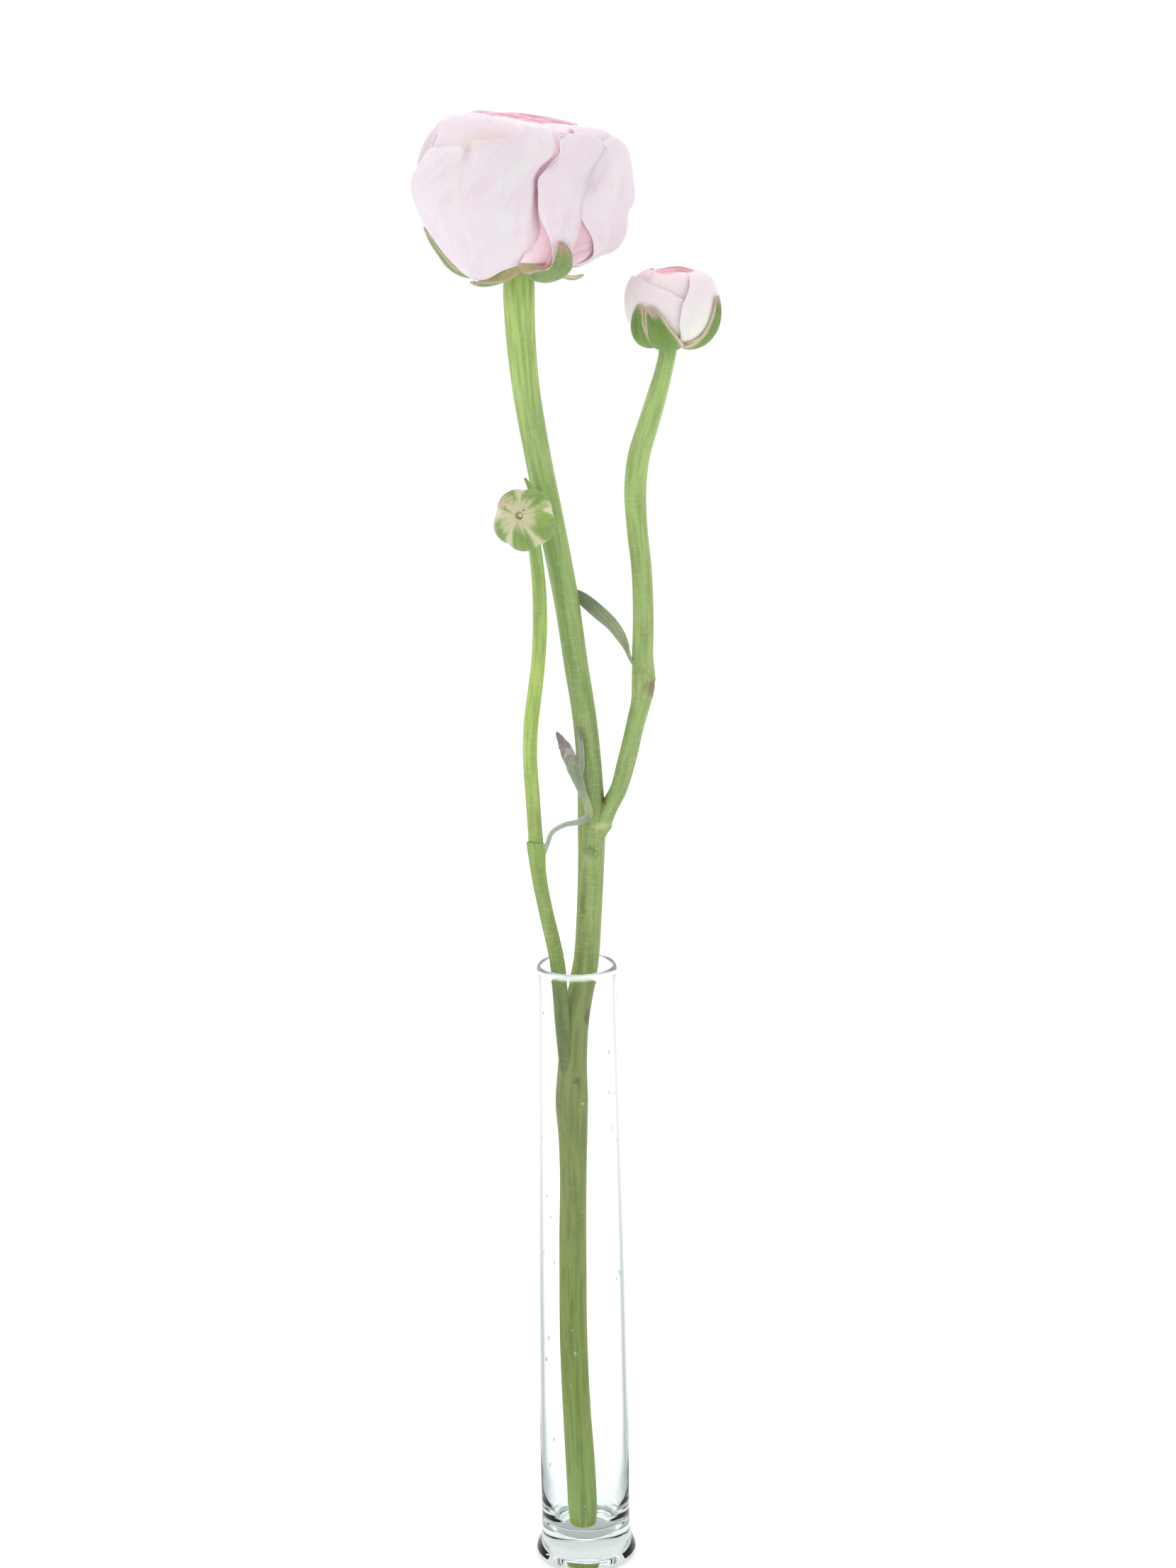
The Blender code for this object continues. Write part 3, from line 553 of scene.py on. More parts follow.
# routes are (x, y, z, radius) points and colours (height, colour) steps; hairShares holds the share of the
# hairs on each route and where along it they start; the mark in the crotch lies on stem and right shoot
crotchMark = spot((8.9, 3, 242), 1.6, (0.2, 0.13, 0.05), 0.85, 0.8, (1.6, 0.5, 0.6))
stemSettings = {
    "routes": {
        "main": [(-1, 0, 7.3, 4.6), (-1, 0, 12, 4.6), (-1.3, 0.4, 25, 4.6), (-2.2, 1, 45, 4.3),
            (-2.9, 1.8, 72, 4.25), (-2.7, 2.5, 100, 4.2), (-2.2, 3.2, 125, 4.15), (-2.1, 3.9, 137, 4.5),
            (-2.3, 4.2, 147, 5), (-1.9, 4.6, 158, 4.5), (-0.8, 5, 172, 4.2), (0.8, 5.4, 181, 4),
            (2.6, 5.6, 190, 3.8), (4, 5.8, 207, 3.75), (4.7, 6, 221, 3.9), (5, 6, 232, 4.1),
            (4.7, 6, 248, 3.75), (3.4, 6, 266, 3.55), (1.4, 6, 280, 3.55), (-1.5, 6, 302, 3.65),
            (-5.6, 6, 325, 3.8), (-9.2, 6, 345, 3.75), (-11.8, 5.6, 362, 3.85), (-13.1, 5, 380, 4.25),
            (-13.2, 4.6, 391, 4.45), (-12.9, 4.3, 398.2, 4.1)],
        "right": [(5.3, 6, 227, 2.4), (7.5, 5.8, 232.5, 2.9), (10.2, 5, 238.5, 2.65), (13, 4, 244, 2.55),
            (15.3, 3, 252, 2.7), (18.6, 2.1, 265.5, 2.7), (20, 2, 271, 2.9), (20.7, 2, 277, 3.35),
            (20.6, 2, 284, 3.1), (20.9, 2, 294, 3.05), (20.5, 2, 311, 2.95), (19.4, 2, 322, 3),
            (19, 2, 333, 3.15), (20.2, 2, 343, 3.15), (22.8, 2, 351.5, 3), (25.3, 2, 359.5, 2.8),
            (27.6, 2, 367.5, 2.5), (28.6, 1.9, 372.4, 2.5), (28.75, 1.8, 374.2, 2.6)],
        "left": [(-2.3, 3.8, 149, 2.6), (-3.4, 2.8, 160, 2.5), (-4.6, 1, 174, 2.35), (-5.7, -0.5, 192, 2.2),
            (-9.1, -1.2, 210, 2.15), (-10.6, -1.4, 219, 2.25), (-11.2, -1.5, 225.5, 2.35),
            (-11.5, -1.5, 231, 2.15), (-12.1, -1.5, 244, 2.1), (-12.6, -1.5, 257, 2.1),
            (-12.1, -1.5, 266, 2.15), (-10.9, -1.5, 274.5, 2.1), (-9.8, -1.5, 283, 2.05),
            (-9, -1.5, 295, 2.05), (-9.1, -1.2, 307, 1.95), (-9.7, -0.4, 314, 1.85), (-10.3, 0.1, 319, 1.85),
            (-10.6, -0.5, 322.2, 1.85), (-10.8, -1.9, 324.1, 1.85), (-10.95, -3.2, 324.6, 1.9),
            (-11.1, -4.2, 324.8, 1.9)],
        "sheath": [(-11, -1.45, 222.5, 2.2), (-11.15, -1.5, 225.5, 2.38), (-11.35, -1.5, 228.2, 2.5),
            (-11.5, -1.5, 230.4, 2.62)],
    },
    "sheath": {
        "size": (26, 49), "start": 0.8, "sweep": 0.985, "tear": 0.16, "tearAt": 2.6, "frill": 0.025,
        "ribs": 9, "ribDepth": 0.05, "thickness": 0.32,
    },
    "looks": {
        "main": {
            "name": "stemGreen",
            "colours": [(0, (0.5, 0.7, 0.08)), (9, (0.5, 0.68, 0.08)), (16, (0.52, 0.7, 0.19)),
                (60, (0.42, 0.56, 0.09)), (110, (0.45, 0.55, 0.13)), (185, (0.38, 0.46, 0.13)),
                (200, (0.3, 0.4, 0.12)), (260, (0.27, 0.37, 0.115)), (330, (0.34, 0.48, 0.15)),
                (400, (0.49, 0.66, 0.17))],
            "spots": [
                spot((4.6, 1.9, 225.5), 2.2, (0.1, 0.17, 0.04), 0.6, 1.6),
                spot((3.5, 1.9, 223.5), 2.4, (0.5, 0.58, 0.33), 0.3, 1.4),
                spot((2, 1.9, 209), 2.2, (0.13, 0.21, 0.05), 0.6, 0.9, (2.5, 1, 0.5)),
                spot((7.6, 3.5, 233.4), 2.6, (0.58, 0.62, 0.3), 0.75, 0.6, (0.8, 0.5, 1.7), 0.9),
                crotchMark,
                spot((3.2, 3, 174), 2.2, (0.17, 0.12, 0.07), 0.65, 1, (1.6, 1, 0.6)),
                spot((-0.5, 0, 155), 1.1, (0.24, 0.1, 0.06), 0.6, 1),
                spot((-6.4, 1, 148), 2.6, (0.28, 0.24, 0.12), 0.4, 1, (1, 1, 0.5)),
            ],
        },
        "right": {
            "name": "rightShootGreen",
            "colours": [(220, (0.31, 0.43, 0.14)), (260, (0.3, 0.42, 0.13)), (320, (0.36, 0.5, 0.15)),
                (375, (0.4, 0.57, 0.17))],
            "spots": [
                spot((23.4, 0.2, 275.4), 4, (0.22, 0.15, 0.09), 0.85, 0.8, (1.3, 0.8, 1), 0.9),
                spot((20.4, -1.6, 280.6), 2, (0.34, 0.28, 0.1), 0.6, 0.7, (1, 0.5, 1.8), 0.9),
                spot((8, 3.5, 233.6), 2.9, (0.58, 0.62, 0.3), 0.75, 0.6, (0.8, 0.5, 1.5), 0.9),
                crotchMark,
            ],
        },
        "left": {
            "name": "leftShootGreen",
            "colours": [(150, (0.3, 0.42, 0.1)), (190, (0.22, 0.32, 0.07)), (222, (0.26, 0.38, 0.08)),
                (260, (0.45, 0.62, 0.13)), (320, (0.33, 0.48, 0.12))],
            "spots": [],
        },
    },
    "look": {
        "spacings": {"Fibre Width": 0.9, "Ring Spacing": 0.75}, "light": (0.55, 0.66, 0.36),
        "dark": (0.13, 0.21, 0.04),
        "layers": [("Patches", (0.4, 0.64), 0.42, "dark"), ("Fibres", (0.42, 0.76), 0.2, "light"),
            ("Rings", (0.46, 0.78), 0.26, "light")],
        "specks": 0.22, "fibreRelief": 0.7, "ringRelief": 0.6, "bump": 0.6, "bumpDepth": 0.25,
        "roughAt": (0.3, 0.7, 0.4, 0.58),
    },
    "ribDepth": 0.05, "lumps": 0.06, "collar": {"at": 6.8, "spread": 1.1, "size": 0.42},
    "bend": {"at": 52, "spread": 6.5, "turn": 0.25, "width": 0.9, "size": 0.12, "wrinkles": 0.22},
    "hairs": {
        "count": 3200, "length": 0.5, "radius": 0.012, "lean": 0.5, "droop": 0, "sunk": 0.05, "swept": 0.3,
    },
    "hairShares": {"main": (0.4, 0.5), "right": (0.35, 0.12), "left": (0.25, 0.12)},
}


def makeStemMaterial(name, colours, spots):
    made = stemSettings["look"]
    material, tree, shader = newMaterial(
        name, Roughness=0.45, Specular_IOR_Level=0.5, Subsurface_Weight=0.12, Subsurface_Scale=0.002,
    )
    fibre = grouped(tree, fibreGroup, {"Place": attribute(tree, "place"), **made["spacings"]})
    low, high = colours[0][0], colours[-1][0]
    height = ramp(tree, parts(tree, objectPlace(tree))[2], low * mm, high * mm, kind="LINEAR")
    tone = node(tree, "ShaderNodeValToRGB", {0: height})
    points = tone.color_ramp.elements
    for k, (at, colour) in enumerate(colours):
        point = points[k] if k < 2 else points.new(1.0)
        point.position = (at - low) / (high - low)
        point.color = rgb(colour)
    layers = []
    for label, between, strength, paint in made["layers"]:
        layers.append((ramp(tree, fibre[label], *between), strength, made[paint]))
    layers.append((fibre["Specks"], made["specks"], made["dark"]))
    colour = spotted(tree, layered(tree, tone.outputs[0], layers), spots)
    tree.links.new(colour, shader.inputs["Base Color"])
    relief = summed(tree, (fibre["Fibres"], made["fibreRelief"]), (fibre["Rings"], made["ringRelief"]))
    bumped(tree, shader, relief, made["bump"], made["bumpDepth"])
    tree.links.new(ramp(tree, fibre["Fibres"], *made["roughAt"]), shader.inputs["Roughness"])
    return material


def stemShape(seed, ribs):
    def shaping(radius, turn, length):
        rib = 1 + stemSettings["ribDepth"] / 4 * np.cos(ribs * turn + 0.6 * np.sin(length / 23))
        wave = stemSettings["lumps"] * ripple(turn * 2.0, length / 6, seed, 7)
        return radius * rib + wave * np.minimum(1, length / 4)
    return shaping


def rightShape(radius, turn, length):
    # a collar where the shoot leaves the stem, and a wrinkled swelling at its bend
    collar, bend = stemSettings["collar"], stemSettings["bend"]
    swollen = collar["size"] * bell(length - collar["at"], collar["spread"])
    swollen = swollen * (1 + 0.5 * ripple(turn * 3, length * 1.5, 8))
    side = np.angle(np.exp(1j * (turn + bend["turn"])))
    wrinkled = bell(length - bend["at"], bend["spread"]) * bell(side, bend["width"])
    wrinkles = bend["size"] + bend["wrinkles"] * ripple(turn * 7, length * 2.2, 9, 9)
    return stemShape(5, 9)(radius, turn, length) + swollen + wrinkled * wrinkles


def makeStems():
    made = stemSettings
    routes = made["routes"]
    main, right, left = (makeStemMaterial(**made["looks"][key]) for key in ("main", "right", "left"))
    pieces = {
        "mainStem": (tubeShell(routes["main"], 420, 44, stemShape(3, 11)), main),
        "rightShoot": (tubeShell(routes["right"], 300, 36, rightShape), right),
        "leftShoot": (tubeShell(routes["left"], 330, 32, stemShape(7, 8)), left),
        "shootSheath": (sheathShell(), left),
    }
    for name, (shell, look) in pieces.items():
        addPiece(name, [shell], look, "flower_stem")
    roots, directions = [], []
    draw = np.random.default_rng(17)
    for key, (share, start) in made["hairShares"].items():
        count = int(made["hairs"]["count"] * share)
        t = draw.uniform(start, 0.99, count)
        samples = along(routes[key], t)
        ahead = aheadAlong(routes[key], t)
        out = unit(np.cross(ahead, draw.normal(0, 1, (count, 3))))
        roots.append(samples[:, :3] + out * (samples[:, 3:] - made["hairs"]["sunk"]))
        directions.append(out + made["hairs"]["swept"] * ahead / np.linalg.norm(ahead, axis=1)[:, None])
    shell = hairShell(np.concatenate(roots), np.concatenate(directions), made["hairs"], 18)
    addPiece("stemDown", [shell], greenHairLook, "flower_stem")


def sheathShell():
    # the open sleeve of a bract's base, which clasps the left shoot; its top is torn lower on one side
    made = stemSettings["sheath"]
    v, u = grid(*made["size"])
    turn = math.pi * (made["start"] + (u + 1) * made["sweep"])
    tear = made["tear"] * (1 + np.cos(turn - made["tearAt"])) / 2
    ragged = 1 - tear - made["frill"] * ripple(turn * 4, v * 0, 4)
    samples = along(stemSettings["routes"]["sheath"], v * ragged)
    radius, height = samples[..., 3] + made["ribDepth"] * np.cos(made["ribs"] * turn) * v, samples[..., 2]
    x, y = samples[..., 0] + radius * np.sin(turn), samples[..., 1] - radius * np.cos(turn)
    middle = np.stack([x, y, height], -1)
    place = np.stack([radius * np.sin(turn), radius * np.cos(turn), v * 10], -1)
    return sheetShell(middle, made["thickness"], np.stack([u, v, height], -1), place)


# Sepals, bracts and leaf

# the glow share is a painted glow given off by the parts that look.z marks, the inner faces of sepals, to
# brighten them where they lie in shade
leafUsual = {
    "veinSpacing": 0.45, "ragged": 0.5, "rootAt": (0, 0.75), "blotchAt": (0.45, 0.65), "blotch": 0.55,
    "insideStrength": 0.85, "veinAt": (0.35, 0.8), "vein": 0.3, "marginAt": (0.72, 0.95), "marginStrength": 1,
    "tipAt": (0.8, 0.97), "lift": 0.2, "spots": [],
}


def makeLeafMaterial(name, settings):
    # look.x runs across from -1 to 1, look.y up from root to tip
    made = {**leafUsual, **settings}
    material, tree, shader = newMaterial(
        name, Roughness=0.6, Specular_IOR_Level=0.35, Sheen_Weight=0.06, Sheen_Roughness=0.4,
        Subsurface_Weight=0.1, Subsurface_Scale=0.0015, Emission_Strength=1.0,
    )
    look = parts(tree, attribute(tree, "look"))
    veins = grouped(tree, veinGroup, {"Place": attribute(tree, "place"), "Spacing": made["veinSpacing"]})
    jitter = maths(tree, "MULTIPLY", maths(tree, "SUBTRACT", veins["Wrinkles"], 0.5), made["ragged"])
    edge = maths(tree, "ADD", maths(tree, "ABSOLUTE", look[0]), jitter)
    tip = maths(tree, "ADD", look[1], jitter)
    colour = mixed(tree, ramp(tree, look[1], *made["rootAt"]), rgb(made["root"]), rgb(made["middle"]))
    colour = layered(tree, colour, [
        (ramp(tree, veins["Blotches"], *made["blotchAt"]), made["blotch"], made["dark"]),
        (look[2], made["insideStrength"], made.get("inside", made["light"])),
        (ramp(tree, veins["Veins"], *made["veinAt"]), made["vein"], made["light"]),
        (ramp(tree, edge, *made["marginAt"]), made["marginStrength"], made["margin"]),
        (ramp(tree, tip, *made["tipAt"]), 1.0, made["tip"]),
    ])
    coloured(tree, shader, colour, look[2], made)
    bumped(tree, shader, summed(tree, (veins["Veins"], 0.5), (veins["Wrinkles"], 1)), 0.5, 0.25)
    return material


def makeHairMaterial(name, dull, bright):
    material, tree, shader = newMaterial(name, Roughness=0.5, Subsurface_Weight=0.3, Subsurface_Scale=0.0005)
    colour = mixed(tree, noise(tree, attribute(tree, "place"), 1.5, 3.0, 0.55), rgb(dull), rgb(bright))
    tree.links.new(colour, shader.inputs["Base Color"])
    return material


hairLook = makeHairMaterial("paleDown", (0.60, 0.70, 0.50), (0.86, 0.90, 0.80))
greenHairLook = makeHairMaterial("greenDown", (0.58, 0.68, 0.42), (0.80, 0.86, 0.68))


def ribbonShell(route, size, seed, channel, wave, ragged=0.0):
    # a leaf along (x, y, z, half width, facing degrees) points
    rows, columns = size
    t = np.linspace(0, 1, rows)
    centres = along([p[:3] for p in route], t)
    knots = np.linspace(0, 1, len(route))
    width = through(knots, [p[3] for p in route], t)[:, None]
    facing = np.radians(through(knots, [p[4] for p in route], t))
    ahead = unit(np.gradient(centres, axis=0))
    across = unit(np.cross(ahead, np.stack([np.sin(facing), -np.cos(facing), 0 * facing], -1)))
    outward = np.cross(across, ahead)
    v, u = grid(rows, columns)
    torn = 1 - ragged * (0.5 + 0.5 * ripple(v * 60, u * 2, seed + 1, 8)) * limited(v * 2 - 0.9)
    offset = channel * width * (1 - u**2) + wave * ripple(u * 2.2, v * 9, seed) * (0.3 + 0.7 * np.abs(u))
    middle = centres[:, None] + across[:, None] * (u * width * torn)[..., None]
    middle = middle - outward[:, None] * offset[..., None]
    place = np.stack([u * width.max(), v * lengthOf(centres), 0 * u + seed * 7.3], -1)
    return sheetShell(middle, bractSettings["thickness"], np.stack([u, v, 0 * u], -1), place)


bractSettings = {
    "thickness": 0.35,
    "pieces": {
        "foldedBract": {
            "material": "greyBract", "slot": "bract", "replaced": "folded_bract",
            "leaves": [
                {
                    "size": (110, 15), "seed": 1, "channel": 0.35, "wave": 0.12, "ragged": 0.3,
                    "route": [(-9.3, -2.3, 226.4, 0.8, 20), (-8, -2.5, 229.6, 0.7, 15),
                        (-6.6, -2.6, 233, 0.7, 10), (-3, -1.4, 235, 0.75, 0), (1.6, -0.4, 235.8, 0.95, 0),
                        (4.2, 0.4, 237.4, 1.15, 0), (4, 0.4, 240.2, 1.15, 0), (2.4, 0.6, 244.6, 1.6, 0),
                        (0.9, 0.4, 249.2, 2.1, 0), (-0.8, 0, 254.2, 2.3, 0), (-2.8, -0.6, 259, 1.7, 0),
                        (-4.7, -1.4, 263, 0.4, 0)],
                },
                {
                    "size": (46, 11), "seed": 2, "channel": 0.35, "wave": 0.12, "ragged": 0.3,
                    "route": [(1.5, 1.3, 246.6, 0.25, 0), (2.1, 1.2, 251, 1, 0), (2.4, 1.2, 255, 0.9, 0),
                        (2.2, 1.2, 259.4, 0.8, 0), (1.9, 1, 263.2, 0.35, 0)],
                },
            ],
            "look": {
                "root": (0.45, 0.53, 0.42), "middle": (0.25, 0.33, 0.2), "dark": (0.15, 0.2, 0.12),
                "light": (0.5, 0.58, 0.43), "margin": (0.5, 0.55, 0.46), "marginAt": (0.8, 1),
                "marginStrength": 0.5, "tip": (0.26, 0.21, 0.19), "tipAt": (0.72, 0.92), "ragged": 0.9,
                "spots": [
                    spot((4, 0, 240.4), 3.6, (0.42, 0.47, 0.22), 0.7, 0.4, (1, 1, 0.8), 0.9),
                    spot((-1.2, 0, 256.6), 2.6, (0.56, 0.53, 0.5), 0.55, 1.8, (1, 1, 1), 0.9),
                ],
            },
        },
        "archingLeaf": {
            "material": "greyLeaf", "slot": "leaf", "replaced": "arching_leaf",
            "leaves": [
                {
                    "size": (80, 15), "seed": 3, "channel": 0.4, "wave": 0.12,
                    "route": [(18.3, 1.6, 281.2, 0.5, -50), (17, 0.8, 283.9, 0.9, -50),
                        (15.2, 1, 289, 1.6, -25), (12, 2.6, 293.8, 1.9, -15), (8.2, 5.2, 297, 2.2, -20),
                        (4.6, 8.4, 299.6, 2.2, -20), (1.2, 10.9, 301.6, 1.7, -10), (-2.2, 11.6, 303, 0.4, 0)],
                },
            ],
            "look": {
                "root": (0.3, 0.38, 0.2), "middle": (0.26, 0.33, 0.21), "dark": (0.17, 0.23, 0.12),
                "light": (0.42, 0.49, 0.36), "margin": (0.4, 0.45, 0.32), "marginAt": (0.8, 1),
                "marginStrength": 0.5, "tip": (0.16, 0.19, 0.1), "tipAt": (0.9, 1),
            },
        },
        "smallBract": {
            "material": "greenBract", "slot": "leaf", "replaced": "small_bract",
            "leaves": [
                {
                    "size": (50, 13), "seed": 4, "channel": 0.5, "wave": 0.06,
                    "route": [(-10, 2.9, 320.4, 0.9, 0), (-9.9, 2.4, 325.6, 1.4, 0),
                        (-10.1, 1.4, 331, 1.5, 0), (-11.1, 0.6, 334.6, 1, 0), (-12.5, 0, 337.2, 0.3, 0)],
                },
            ],
            "look": {
                "root": (0.38, 0.52, 0.16), "middle": (0.34, 0.48, 0.14), "dark": (0.24, 0.36, 0.09),
                "light": (0.52, 0.63, 0.3), "margin": (0.4, 0.31, 0.15), "marginAt": (0.9, 1.05),
                "marginStrength": 0.8, "tip": (0.26, 0.3, 0.1), "tipAt": (0.93, 1.05), "ragged": 0.2,
            },
        },
    },
}


def makeBracts():
    made = bractSettings
    for name, piece in made["pieces"].items():
        shells = [ribbonShell(**leaf) for leaf in piece["leaves"]]
        look = makeLeafMaterial(piece["material"], piece["look"])
        addPiece(name, shells, look, piece["replaced"])


sepalUsual = {
    "curve": 0.35, "bulge": 0, "tilt": 0, "wave": 0.12, "lean": 0,
    "outline": [(0, 0.45), (0.3, 0.88), (0.55, 1), (0.8, 0.7), (1, 0.1)],
}


def sepalMiddle(sepal, rows, columns):
    # a sepal along (radius, height) points; curve bends its sides up round the flower, lean its tip aside
    made = {**sepalUsual, **sepal}
    v, u = grid(rows, columns)
    keel = along(made["route"], v[:, 0])
    ahead = unit(np.gradient(keel, axis=0))
    out = np.stack([ahead[:, 1], -ahead[:, 0]], -1)  # away from the flower
    width = made["width"] * profile(made["outline"], v)
    width = width * (1 + 0.05 * ripple(v * 14, u * 3, made["seed"], 5))
    bend = made["curve"] * np.sin(math.pi * limited(v * 0.9 + 0.05)) ** 0.6
    across = width * np.sin(u * bend) / bend
    offset = -width * (1 - np.cos(u * bend)) / bend
    offset += made["bulge"] * (1 - u**2) * np.sin(math.pi * v**0.8)
    offset += -made["tilt"] * u * width + made["wave"] * ripple(u * 2.5, v * 7, made["seed"] + 1)
    radius = keel[:, :1] + out[:, :1] * offset
    height = keel[:, 1:] + out[:, 1:] * offset
    turn = np.radians(made["turn"] + made["lean"] * v**2)
    turn = turn + across / np.maximum(keel[:, :1], np.abs(across) + 0.5)
    place = np.stack([u * made["width"], v * lengthOf(keel), 0 * u + made["seed"] * 5.7], -1)
    return around(radius, turn, height), np.stack([u, v, 0 * u], -1), place


def makeSepals(name, sepals, place, look, slot, replaced, hairs, thickness=0.5, size=(54, 35)):
    shells, roots, directions = [], [], []
    for k, sepal in enumerate(sepals):
        middle, shown, flat = sepalMiddle(sepal, *size)
        middle = placed(middle, place)
        shells.append(sheetShell(middle, thickness, shown, flat, 1.0))
        found, normals = scatter(middle, hairs["count"], 40 + k)
        roots.append(found + normals * thickness * 0.35)
        directions.append(normals)
    addPiece(name, shells, look, replaced)
    shell = hairShell(np.concatenate(roots), np.concatenate(directions), hairs, 61)
    addPiece(name + "Down", [shell], hairLook, replaced)


# Petals

# the glow share is a painted glow given off by the parts that look.z marks, most by the deepest petals, to
# brighten them where they lie in shade
petalLookUsual = {
    "veinSpacing": 0.7, "rootAt": (0, 0.45), "rootStrength": 0.5, "blotchAt": (0.46, 0.68), "blotch": 0.4,
    "veinAt": (0.5, 1), "vein": 0.25, "patchAt": (0.5, 0.68), "patch": 0.3, "mottleAt": (0.48, 0.72),
    "mottle": 0.14, "rimAt": (0.955, 1), "rim": 0.35, "lift": 0.08, "relief": 0.5, "spots": [],
}
petalUsual = {
    "frill": 0.35, "fringe": 0.004, "lip": 0.3, "sideLip": 0.15, "swell": 0.25, "flutes": 0.08, "tone": 0,
    "toneRoot": 0, "tuck": 0, "folds": [], "rolls": [], "meanRadius": 14, "meanHeight": 45,
}
innerUsual = {
    "toneRoot": 0.25, "lip": 0.2, "sideLip": 0.08, "swell": 0.06, "flutes": 0.05, "frill": 0.8,
    "fringe": 0.006,
}


def makePetalMaterial(name, settings, **changes):
    # look.z is how deep in the flower a petal sits; deeper parts take the darker inner pink, partly the inner
    # petals' own colour and partly painted shade; its margin, root and veins each have their own colour
    made = {**petalLookUsual, **settings, **changes}
    material, tree, shader = newMaterial(
        name, Roughness=0.5, Specular_IOR_Level=0.3, Sheen_Weight=0.15, Sheen_Roughness=0.35,
        Subsurface_Weight=0.25, Subsurface_Scale=0.0025, Subsurface_Radius=(1.0, 0.55, 0.6),
        Emission_Strength=1.0,
    )
    look = parts(tree, attribute(tree, "look"))
    veins = grouped(tree, veinGroup, {"Place": attribute(tree, "place"), "Spacing": made["veinSpacing"]})
    outermost = maths(tree, "MAXIMUM", maths(tree, "ABSOLUTE", look[0]), look[1])
    colour = layered(tree, mixed(tree, look[2], rgb(made["outer"]), rgb(made["inner"])), [
        (ramp(tree, look[1], *made["rootAt"], 1.0, 0.0), made["rootStrength"], made["root"]),
        (ramp(tree, veins["Blotches"], *made["blotchAt"]), made["blotch"], made["cream"]),
        (ramp(tree, veins["Veins"], *made["veinAt"]), made["vein"], made["veins"]),
        (ramp(tree, veins["Wrinkles"], *made["patchAt"]), made["patch"], made["veins"]),
        (ramp(tree, veins["Crinkles"], *made["mottleAt"]), made["mottle"], made["cream"]),
        (ramp(tree, outermost, *made["rimAt"]), made["rim"], made["edge"]),
    ])
    coloured(tree, shader, colour, look[2], made)
    relief = summed(tree, (veins["Veins"], 0.35), (veins["Wrinkles"], 1), (veins["Crinkles"], 0.45))
    bumped(tree, shader, relief, made["relief"], 0.35)
    return material


def cupPoint(cup, depth, share, turn):
    mix = (depth / cup["depth"])[..., None]
    meridian = along(cup["outer"], share) * (1 - mix) + along(cup["inner"], share) * mix
    return around(meridian[..., 0], np.radians(turn), meridian[..., 1])


def petalMiddle(cup, petal, rows, columns):
    # left and right edges: (share of the cup, degrees from the front); its top edge is either a rim of
    # (degrees, share) points or a crown of (across, share) points; folds are (depth, width, line)
    made = {**petalUsual, **petal}
    v, u = grid(rows, columns)
    seed, share = made["seed"], 0.8 * v
    frill = made["frill"] * ripple(v * 22, v * 0, seed + 3, 7) * limited(np.abs(u) * 5 - 4)
    rising = limited(v * 3)
    for _ in range(8 if "rim" in made else 2):
        left, right = profile(made["left"], share), profile(made["right"], share)
        turn = left + (right - left) * (u + 1) / 2 + frill * np.sign(u) * 2
        top = profile(made["rim"], turn) if "rim" in made else profile(made["crown"], u)
        share = v * (top + made["fringe"] * ripple(u * 26, u * 0, seed + 2, 8))
    # the top and the sides bend outward, and nothing stirs at the root
    upper, side = limited((v - 0.82) / 0.18) ** 2, limited(np.abs(u) * 4 - 3) ** 2
    depth = made["depth"] - made["lip"] * upper - made["sideLip"] * side * rising
    width = np.radians(right - left) * made["meanRadius"]
    swell = made["swell"] * ripple(np.radians(turn) * 3.2, share * 9, seed) * rising
    flutes = made["flutes"] * ripple(np.radians(turn) * 13, share * 3, seed + 1, 7) * limited(v * 1.6 - 0.5)
    depth = depth - swell - flutes
    # tone grows towards the root: a darker pink there, partly the petal's own colour and partly painted shade
    # under the petals in front
    tone = made["tone"] + made["toneRoot"] * (1 - v)
    depth = depth + made["tuck"] * limited(1 - share / 0.33)
    for fold in made["folds"]:
        depth = depth + foldDepth(turn, share, *fold)
    for roll in made["rolls"]:
        # the edge turns in from the listed degrees on, and is pinker there: painted shade of the crevice it
        # turns into
        starts = profile(roll["from"], share)
        ends = profile(made["right"], share) - roll["flat"]
        gone = limited((turn - starts) / np.maximum(ends - starts, 1))
        gone = gone * gone * (3 - 2 * gone)
        depth = depth + roll["depth"] * gone * profile(roll["fade"], share)
        tone = tone + roll["tone"] * gone
    middle = cupPoint(cup, depth, share, turn)
    if "droop" in made:
        drop, at, spread = made["droop"]
        middle[..., 2] -= drop * bell(share - 0.2, 0.11) * bell(turn - at, spread)
    high = limited((share - 0.8) / 0.2)
    middle[..., 2] -= cup["slope"] * middle[..., 0] * high * high * (3 - 2 * high)
    place = np.stack([u * width.max() / 2, v * made["meanHeight"], 0 * u + seed * 3.1], -1)
    return middle, np.stack([u, v, limited(tone)], -1), place


def foldDepth(turn, share, depth, width, line):
    # a soft crease along a line of (degrees, share) points
    scale = np.array([0.5, petalUsual["meanHeight"]])  # degrees and share both into about millimetres
    here = np.stack([turn, share], -1) * scale
    points = np.array(line, float) * scale
    nearest = np.full(turn.shape, 1e9)
    for a, b in zip(points, points[1:]):
        step = b - a
        t = limited(((here - a) @ step) / step.dot(step))
        nearest = np.minimum(nearest, np.linalg.norm(here - (a + t[..., None] * step), axis=-1))
    return depth * bell(nearest, width)


def makePetals(cup, petals, place, thickness):
    shells = []
    for petal in petals:
        middle, look, flat = petalMiddle(cup, petal, *petal["size"])
        shells.append(sheetShell(placed(middle, place), thickness, look, flat))
    return shells


